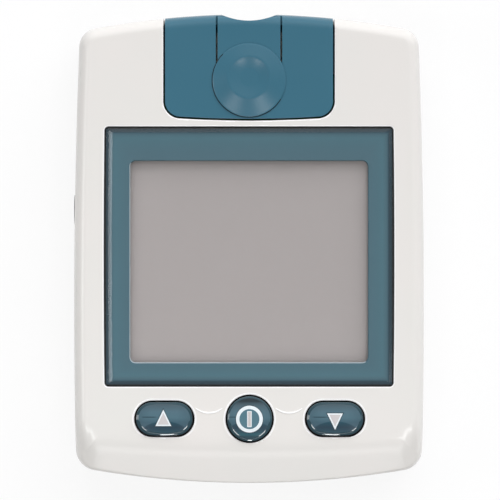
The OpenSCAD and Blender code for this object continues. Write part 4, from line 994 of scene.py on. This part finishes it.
# %% [markdown]
# Under the border lies a black gasket, and under that the cell: a narrower rear glass, the grey film
# and a wider front glass. The connector strips press on the rear side of the front glass.

# %% Gasket and display cell
REAR_Z, FILM_Z, FRONT_Z, FILM_T = 16.65, 18.30, 18.85, 0.1
CELL_W, REAR_L, FILM_L, FRONT_L = 50.0, 37.2, 38.5, 43.0
gasket = mesh_object("display_gasket", prism(view_outline, [
    (FRONT_Z + 0.02, 0.95), (ink_z - 0.37, 0.95), (ink_z - 0.37, 0.03), (FRONT_Z + 0.02, 0.03)], endless=True))
finish_piece(smooth(gasket, 30), "casing", "tape", inner["black_foam_tape"])
cell, film, glass = (rounded_rect(CELL_W, length, 0.3, 0.0, (0, DISPLAY_Y))
                     for length in (REAR_L, FILM_L, FRONT_L))
rear = mesh_object("lcd_rear_glass", loft([
    level(cell, REAR_Z), level(cell, FILM_Z - FILM_T), level(film, FILM_Z - FILM_T), level(film, FILM_Z)]))
finish_piece(smooth(rear, 30), "casing", "lcd", polariser, "lcd_panel")
front = mesh_object("lcd_front_glass", loft([level(glass, FILM_Z + 0.01), level(glass, FRONT_Z)]))
finish_piece(smooth(front, 30), "casing", "lcd", cell_glass)

# %% [markdown]
# ## Keys
#
# Each key is a racetrack outline carried through a profile: flange, steep side, rounded shoulder
# and a low dome. The dome's height depends only on the distance from the edge, so the icon that
# lies on it can be lifted to the same height by the same function.


# %% Height of the cap
EDGE_WAY, EDGE_ANGLE = (0.0, 0.03, 0.1, 0.38, 0.42, 0.75), (80, 55, 28.5, 25.5, 13.5, 5)


def dome_height(depth, radius):
    """Height of the cap at a distance depth in from its edge. The slope's angle falls from 80 to 28.5
    degrees round the edge and to 25.5 across the polished bevel, drops to 13.5, falls to 5 where the
    dome begins, and goes from there with a quarter cosine to nothing. Its tangent is summed up along
    the way."""
    way = np.linspace(0, radius, 800)
    angle = np.interp(way, EDGE_WAY, EDGE_ANGLE)
    inside = way > EDGE_WAY[-1]
    angle[inside] = EDGE_ANGLE[-1] * np.cos(np.pi / 2 * (way[inside] - EDGE_WAY[-1]) / (radius - EDGE_WAY[-1]))
    rise = np.concatenate([[0], np.cumsum(np.tan(np.radians(angle)))[:-1]]) * (way[1] - way[0])
    return KEY_CROWN_Z - rise[-1] + np.interp(depth, way, rise)


print("a side key rises from", round(float(dome_height(0, side_key[1])), 2), "to", KEY_CROWN_Z, "mm")

# %% Key rings and caps
KEY_BOW, BOW_DEPTH = math.radians(10), 0.1
FLANGE_OUT, BOOT_IN, BOOT_H = 1.0, 1.6, 1.6
KEY_DEPTHS = [0, 0.015, 0.03, 0.06, 0.1, 0.19, 0.28, 0.38, 0.42, 0.5, 0.58, 0.66, 0.75]


def key_ring(straight, radius, depth, centre):
    """A racetrack that lies depth in from the key's edge, with bowed straights: its end arcs stop
    KEY_BOW short of a half turn each way, and parabolas that start in the arcs' direction join
    them. So the shoulder is curved everywhere and gathers a lamp into a short glint."""
    if not straight:
        return racetrack(0, radius - depth, centre)
    bow = KEY_BOW * min(depth / BOW_DEPTH, 1)
    end = arc((straight / 2, 0), radius - depth - 0.75 * bow, bow - math.pi / 2, math.pi / 2 - bow, 48)
    x = np.linspace(end[-1, 0], -end[-1, 0], 16)[1:-1]
    rise = math.tan(bow) * (end[-1, 0] ** 2 - x ** 2) / (2 * end[-1, 0])
    upper = np.column_stack([x, end[-1, 1] + rise])
    return np.concatenate([end, upper, -end, upper[::-1] * [1, -1]]) + np.array(centre)


def key_cap_solid(straight, radius, centre):
    """Rings from the hollow underneath, out over the flange, up the side and over the dome."""
    within, flange, flange_z = radius - BOOT_IN, radius + FLANGE_OUT, FACE_UNDER - 0.2
    stack = [(within, KEY_UNDER + BOOT_H), (within, KEY_UNDER), (flange, KEY_UNDER), (flange, flange_z),
             (radius, flange_z)]
    rings = [level(racetrack(straight, r, centre), z) for r, z in stack]
    rings += [level(key_ring(straight, radius, d, centre), float(dome_height(d, radius)))
              for d in KEY_DEPTHS + np.linspace(0.9, radius - 0.15, 14).tolist()]
    return loft(rings)


# %% [markdown]
# Each face's finish follows from its highest corner: the side below the bevel gets painted shade,
# near black, except where it looks up the row into the light, the bevel is polished, and the rest is
# the cap. The polished band is wider on the side that looks down the meter.

# %% Make the keys
for name, x, straight, radius in key_places:
    cap = mesh_object(name + "_cap", key_cap_solid(straight, radius, (x, KEYS_Y)))
    smooth(cap, 40)
    finish_piece(cap, name, "key_gloss", key_cap, name)
    high = over_corners(cap, points_of(cap)[:, 2], np.maximum)
    towards = faces_of(cap, "normal")[:, 1]
    # Painted shade on the cap's side below the bevel, except where it looks up the row.
    in_painted_shade = (high < dome_height(0.08, radius)) & (towards < 0.2)
    on_bevel = high < dome_height(np.where(towards < -0.03, 0.7, 0.4), radius)
    repaint(cap, [key_edge, gap_shade], np.select([in_painted_shade, on_bevel], [2, 1], 0))

# %% [markdown]
# ### Icons
#
# The icons are generic signs: a triangle up, a triangle down, and a ring with a bar. Each ink is a
# thin solid between two closed loops, or from a loop to its middle, lifted onto the dome. The ink
# stands 0.045 mm high, more than a real print, so that it isn't lost in the cap's surface.


# %% Lift the icons onto the domes
def on_key(flat, x, straight, radius, lift):
    """Points of the plane at the cap's height there, plus lift."""
    dx = np.maximum(np.abs(flat[:, 0] - x) - straight / 2, 0)
    depth = radius - np.hypot(dx, flat[:, 1] - KEYS_Y)
    return np.column_stack([flat, dome_height(depth, radius) + lift])


def icon(name, loops, key, material, thickness=0.045):
    """A closed sheet through the loops, from the outermost to the innermost, and back underneath."""
    top = [on_key(loop, *key[1:], thickness) for loop in loops]
    under = [on_key(loop, *key[1:], -0.03) for loop in loops]
    sign = mesh_object(name, loft(under[:1] + top + under[:0:-1], endless=True))
    finish_piece(smooth(sign, 40), key[0], "key_gloss", material)


def triangle(half_w, low, high, centre, grow=0.0):
    """A triangle with its point at high, grown outwards by grow: its corners move away from the
    centre of its inscribed circle, which is their mean weighted by the opposite sides."""
    corners = np.array([(half_w, low), (0, high), (-half_w, low)], float)
    if high < low:
        corners = corners[::-1]
    before, after = np.roll(corners, 1, axis=0), np.roll(corners, -1, axis=0)
    opposite = np.linalg.norm(after - before, axis=1)
    middle = (corners * opposite[:, None]).sum(axis=0) / opposite.sum()
    edges = after - corners
    inradius = abs(edges[0, 0] * edges[1, 1] - edges[0, 1] * edges[1, 0]) / opposite.sum()
    corners = middle + (corners - middle) * (inradius + grow) / inradius
    sides = [np.linspace(corners[i], corners[(i + 1) % 3], 13)[:-1] for i in range(3)]
    return np.concatenate(sides) + np.array(centre)


# %% Triangles of the side keys
for name, key, centre, height in (("up", key_places[0], (-KEY_PITCH - 0.05, -31.85), 1.35),
                                  ("down", key_places[2], (KEY_PITCH + 0.12, -32.4), -1.35)):
    line, outer, within, core = (
        triangle(1.3, -height, height, centre, grow) for grow in (0.25, 0.12, -0.14, -0.6))
    icon(name + "_sign_line", [line, outer], key, inks["dark_outline_ink"])
    icon(name + "_sign_edge", [outer, within], key, inks["white_icon_ink"])
    icon(name + "_sign_fill", [within, core, core * 0.02 + core.mean(axis=0) * 0.98], key, inks["grey_icon_ink"])

# %% Ring and bar of the round key
key, centre = key_places[1], (0.08, KEYS_Y - 0.02)
for name, radii, ink, thickness in (
        ("ring", (2.52, 2.35, 2.05, 1.88), "white_icon_ink", 0.045),
        ("outline", (2.64, 2.52), "dark_outline_ink", 0.045),
        ("field", (1.86, 1.2, 0.5, 0.03), "teal_field_ink", 0.02)):
    icon("power_sign_" + name, [circle(r, centre) for r in radii], key, inks[ink], thickness)
bar = [rounded_rect(0.86, 3.0, 0.1, grow, centre) for grow in (0.0, -0.12, -0.3)]
bar.append(bar[-1] * [0.1, 1] + [centre[0] * 0.9, 0])
icon("power_sign_bar", bar[:2], key, inks["white_icon_ink"])
icon("power_sign_bar_fill", bar[1:], key, inks["grey_icon_ink"])

# %% [markdown]
# ## Back, door and inner pieces
#
# The construction's own meshes are right for everything else. Their triangles are loose, so where
# a curved surface shows, a merged copy stands for the node and is shaded smooth.

# %% Finishes of the construction nodes
FINISH = {
    "shell": pearl, "teal_plastic": teal, "key_gloss": key_cap, "window": acrylic, "lcd": polariser,
    "tape": inner["black_foam_tape"], "inner_plastic": inner["natural_nylon"],
    "dark_plastic": inner["black_moulded_component"], "silicone": inner["grey_silicone"],
    "carbon": inner["carbon_rubber"], "board": inner["green_solder_mask"], "gold": inner["gold_flash"],
    "spring_steel": inner["bright_nickel"], "screw_steel": inner["zinc_plate"],
    "cell_jacket": inner["plain_cell_jacket"]}
SMOOTHED = ["rear_cover", "battery_door", "data_jack", "case_screws", "battery_cell_upper",
            "battery_cell_lower", "battery_bridge", "battery_plus_plate", "battery_minus_spring",
            "ejector_spring", "ejector_carrier", "buzzer", "board_screws"]
slot_of = {row["node"]: row["material_slot"] for row in frame["record"]["subparts"]}
body_of = {n: body for body, group in frame["record"]["behaviour"]["bodies"].items() for n in group}
for name, obj in nodes.items():
    if name in SMOOTHED:
        twin = bpy.data.objects.new(name + "_smooth", obj.data.copy())
        bpy.context.scene.collection.objects.link(twin)
        smooth(twin, 32)
        finish_piece(twin, body_of[name], slot_of[name], FINISH[slot_of[name]], name)
    else:
        obj.data.materials.clear()
        obj.data.materials.append(FINISH[slot_of[name]])
print("smoothed:", len(SMOOTHED), "nodes of", len(nodes))

# %% [markdown]
# ## Studio
#
# The floor and the world are white to the camera and through glass, so the meter stands on plain
# white. To other light the floor is matte white paper. It lies a hair below the meter's back, so
# that the two surfaces don't fight for the same place.

# %% Floor
FLOOR_HALF, FLOOR_Z = 1.5 / MM, -0.05
floor = mesh_object("studio_floor", (level(np.array(
    [(-1, -1), (1, -1), (1, 1), (-1, 1)]) * FLOOR_HALF, FLOOR_Z), [[0, 1, 2, 3]]))
paper, tree, where = new_finish("white_paper_floor")
path = add(tree, "ShaderNodeLightPath")
mirrored = add(tree, "ShaderNodeMath", {
    0: path.outputs["Is Glossy Ray"], 1: path.outputs["Is Transmission Ray"]}, operation="MAXIMUM")
direct = add(tree, "ShaderNodeMath", {0: path.outputs["Is Camera Ray"], 1: mirrored}, operation="MAXIMUM")
seen = add(tree, "ShaderNodeMath", {0: direct, 1: 0.85}, operation="MULTIPLY")
matte = add(tree, "ShaderNodeBsdfDiffuse", {"Color": linear("#f4f4f4")})
white = add(tree, "ShaderNodeEmission", {"Color": (1, 1, 1, 1), "Strength": 1.0})
both = add(tree, "ShaderNodeMixShader", {0: seen, 1: matte, 2: white})
add(tree, "ShaderNodeOutputMaterial", {"Surface": both})
floor.data.materials.append(paper)

# %% [markdown]
# The world is a room in which the light comes from above and, most of all, from a large window at
# the upper right, as the bright upper right edges in the photograph show. Both are soft patches of
# sky: one grows with the height of a direction, one with its nearness to the window's. In mirrors
# the room is an even grey above a white band round the horizon, which reaches higher towards the
# strip port.

# %% World
world = bpy.data.worlds.new("studio_world")
bpy.context.scene.world = world
world.use_nodes = True
tree = world.node_tree
tree.nodes.clear()
path = add(tree, "ShaderNodeLightPath")
where = add(tree, "ShaderNodeTexCoord").outputs["Generated"]
sky = add(tree, "ShaderNodeSeparateXYZ", {"Vector": where})
height = add(tree, "ShaderNodeMath", {0: sky.outputs["Y"], 1: -0.45, 2: sky.outputs["Z"]},
             operation="MULTIPLY_ADD")
horizon = add(tree, "ShaderNodeMapRange", {"Value": height, "From Min": 0.45, "From Max": 0.15})
mirrored = add(tree, "ShaderNodeMath", {0: path.outputs["Is Glossy Ray"], 1: horizon}, operation="MULTIPLY")
through = add(tree, "ShaderNodeMath", {0: path.outputs["Is Transmission Ray"], 1: mirrored}, operation="MAXIMUM")
direct = add(tree, "ShaderNodeMath", {0: path.outputs["Is Camera Ray"], 1: through}, operation="MAXIMUM")
overhead = add(tree, "ShaderNodeMapRange", {
    "Value": sky.outputs["Z"], "From Min": 0.3, "From Max": 0.9, "To Min": 0.03, "To Max": 0.2},
    interpolation_type="SMOOTHSTEP")
aim = add(tree, "ShaderNodeVectorMath", {0: where, 1: (0.29, 0.78, 0.555)}, operation="DOT_PRODUCT")
window_light = add(tree, "ShaderNodeMapRange", {
    "Value": aim, "From Min": 0.5, "From Max": 1.0, "To Min": 0.0, "To Max": 2.55},
    interpolation_type="SMOOTHSTEP")
together = add(tree, "ShaderNodeMath", {0: overhead, 1: window_light})
strength = add(tree, "ShaderNodeMix", {"Factor": path.outputs["Is Glossy Ray"], "A": together, "B": 0.32})
soft = add(tree, "ShaderNodeBackground", {"Color": (0.97, 0.98, 1.0, 1.0), "Strength": strength})
bright = add(tree, "ShaderNodeBackground", {"Color": (1, 1, 1, 1), "Strength": 1.0})
both = add(tree, "ShaderNodeMixShader", {0: direct, 1: soft, 2: bright})
add(tree, "ShaderNodeOutputWorld", {"Surface": both})

# %% [markdown]
# Six lamps draw the highlights. Two small soft boxes, high in front, make the two glints low on each
# key. A strip at the left and a faint card at the right light the casing's sides and the window's
# side bevels. A far lamp low in front draws the bright line along the lower edge of the keys, and a
# wide one above it lights the chin. Places and sizes are in metres.

# %% Lamps
for name, place, size, watts in (
        ("lower_left_softbox", (-0.169, -0.217, 0.718), (0.10, 0.10), 0.31),
        ("lower_right_softbox", (0.150, -0.230, 0.718), (0.10, 0.10), 0.36),
        ("left_strip", (-0.43, 0.0, 0.45), (0.14, 0.27), 0.42),
        ("right_card", (0.495, 0.01, 0.36), (0.14, 0.05), 0.022),
        ("lower_spot", (0.0, -1.28, 0.855), (0.20, 0.14), 1.8),
        ("chin_lamp", (0.0, -0.40, 0.50), (0.40, 0.12), 0.54)):
    light = bpy.data.lights.new(name, "AREA")
    light.shape, light.size, light.size_y, light.energy = "RECTANGLE", *size, watts
    lamp = bpy.data.objects.new(name, light)
    bpy.context.scene.collection.objects.link(lamp)
    lamp.location = place
    lamp.rotation_mode = "QUATERNION"
    lamp.rotation_quaternion = (Vector((0, 0, FACE_Z * MM)) - Vector(place)).to_track_quat("-Z", "Y")
    print(f"{name}: {size[0]} x {size[1]} m, {watts} W")

# %% [markdown]
# ## Camera
#
# The photograph looks straight down from far away, so the long lens makes it nearly parallel. One
# of its 500 pixels is 0.188 mm on the meter.

# %% Camera
PIXEL, PICTURE, DISTANCE = 0.188 * MM, 500, 0.9
SENSOR, MIDDLE = 36.0, (1.0, -1.35)  # sensor width in mm, and what the view is centred on in pixels
camera_data = bpy.data.cameras.new("copy_stand_camera")
camera = bpy.data.objects.new("copy_stand_camera", camera_data)
bpy.context.scene.collection.objects.link(camera)
bpy.context.scene.camera = camera
camera.location = (MIDDLE[0] * PIXEL, MIDDLE[1] * PIXEL, FACE_Z * MM + DISTANCE)
camera_data.sensor_width = SENSOR
camera_data.lens = SENSOR * DISTANCE / (PICTURE * PIXEL)
camera_data.clip_end = 10.0
bpy.context.scene.view_settings.view_transform = "Standard"
print("lens", round(camera_data.lens, 1), "mm")
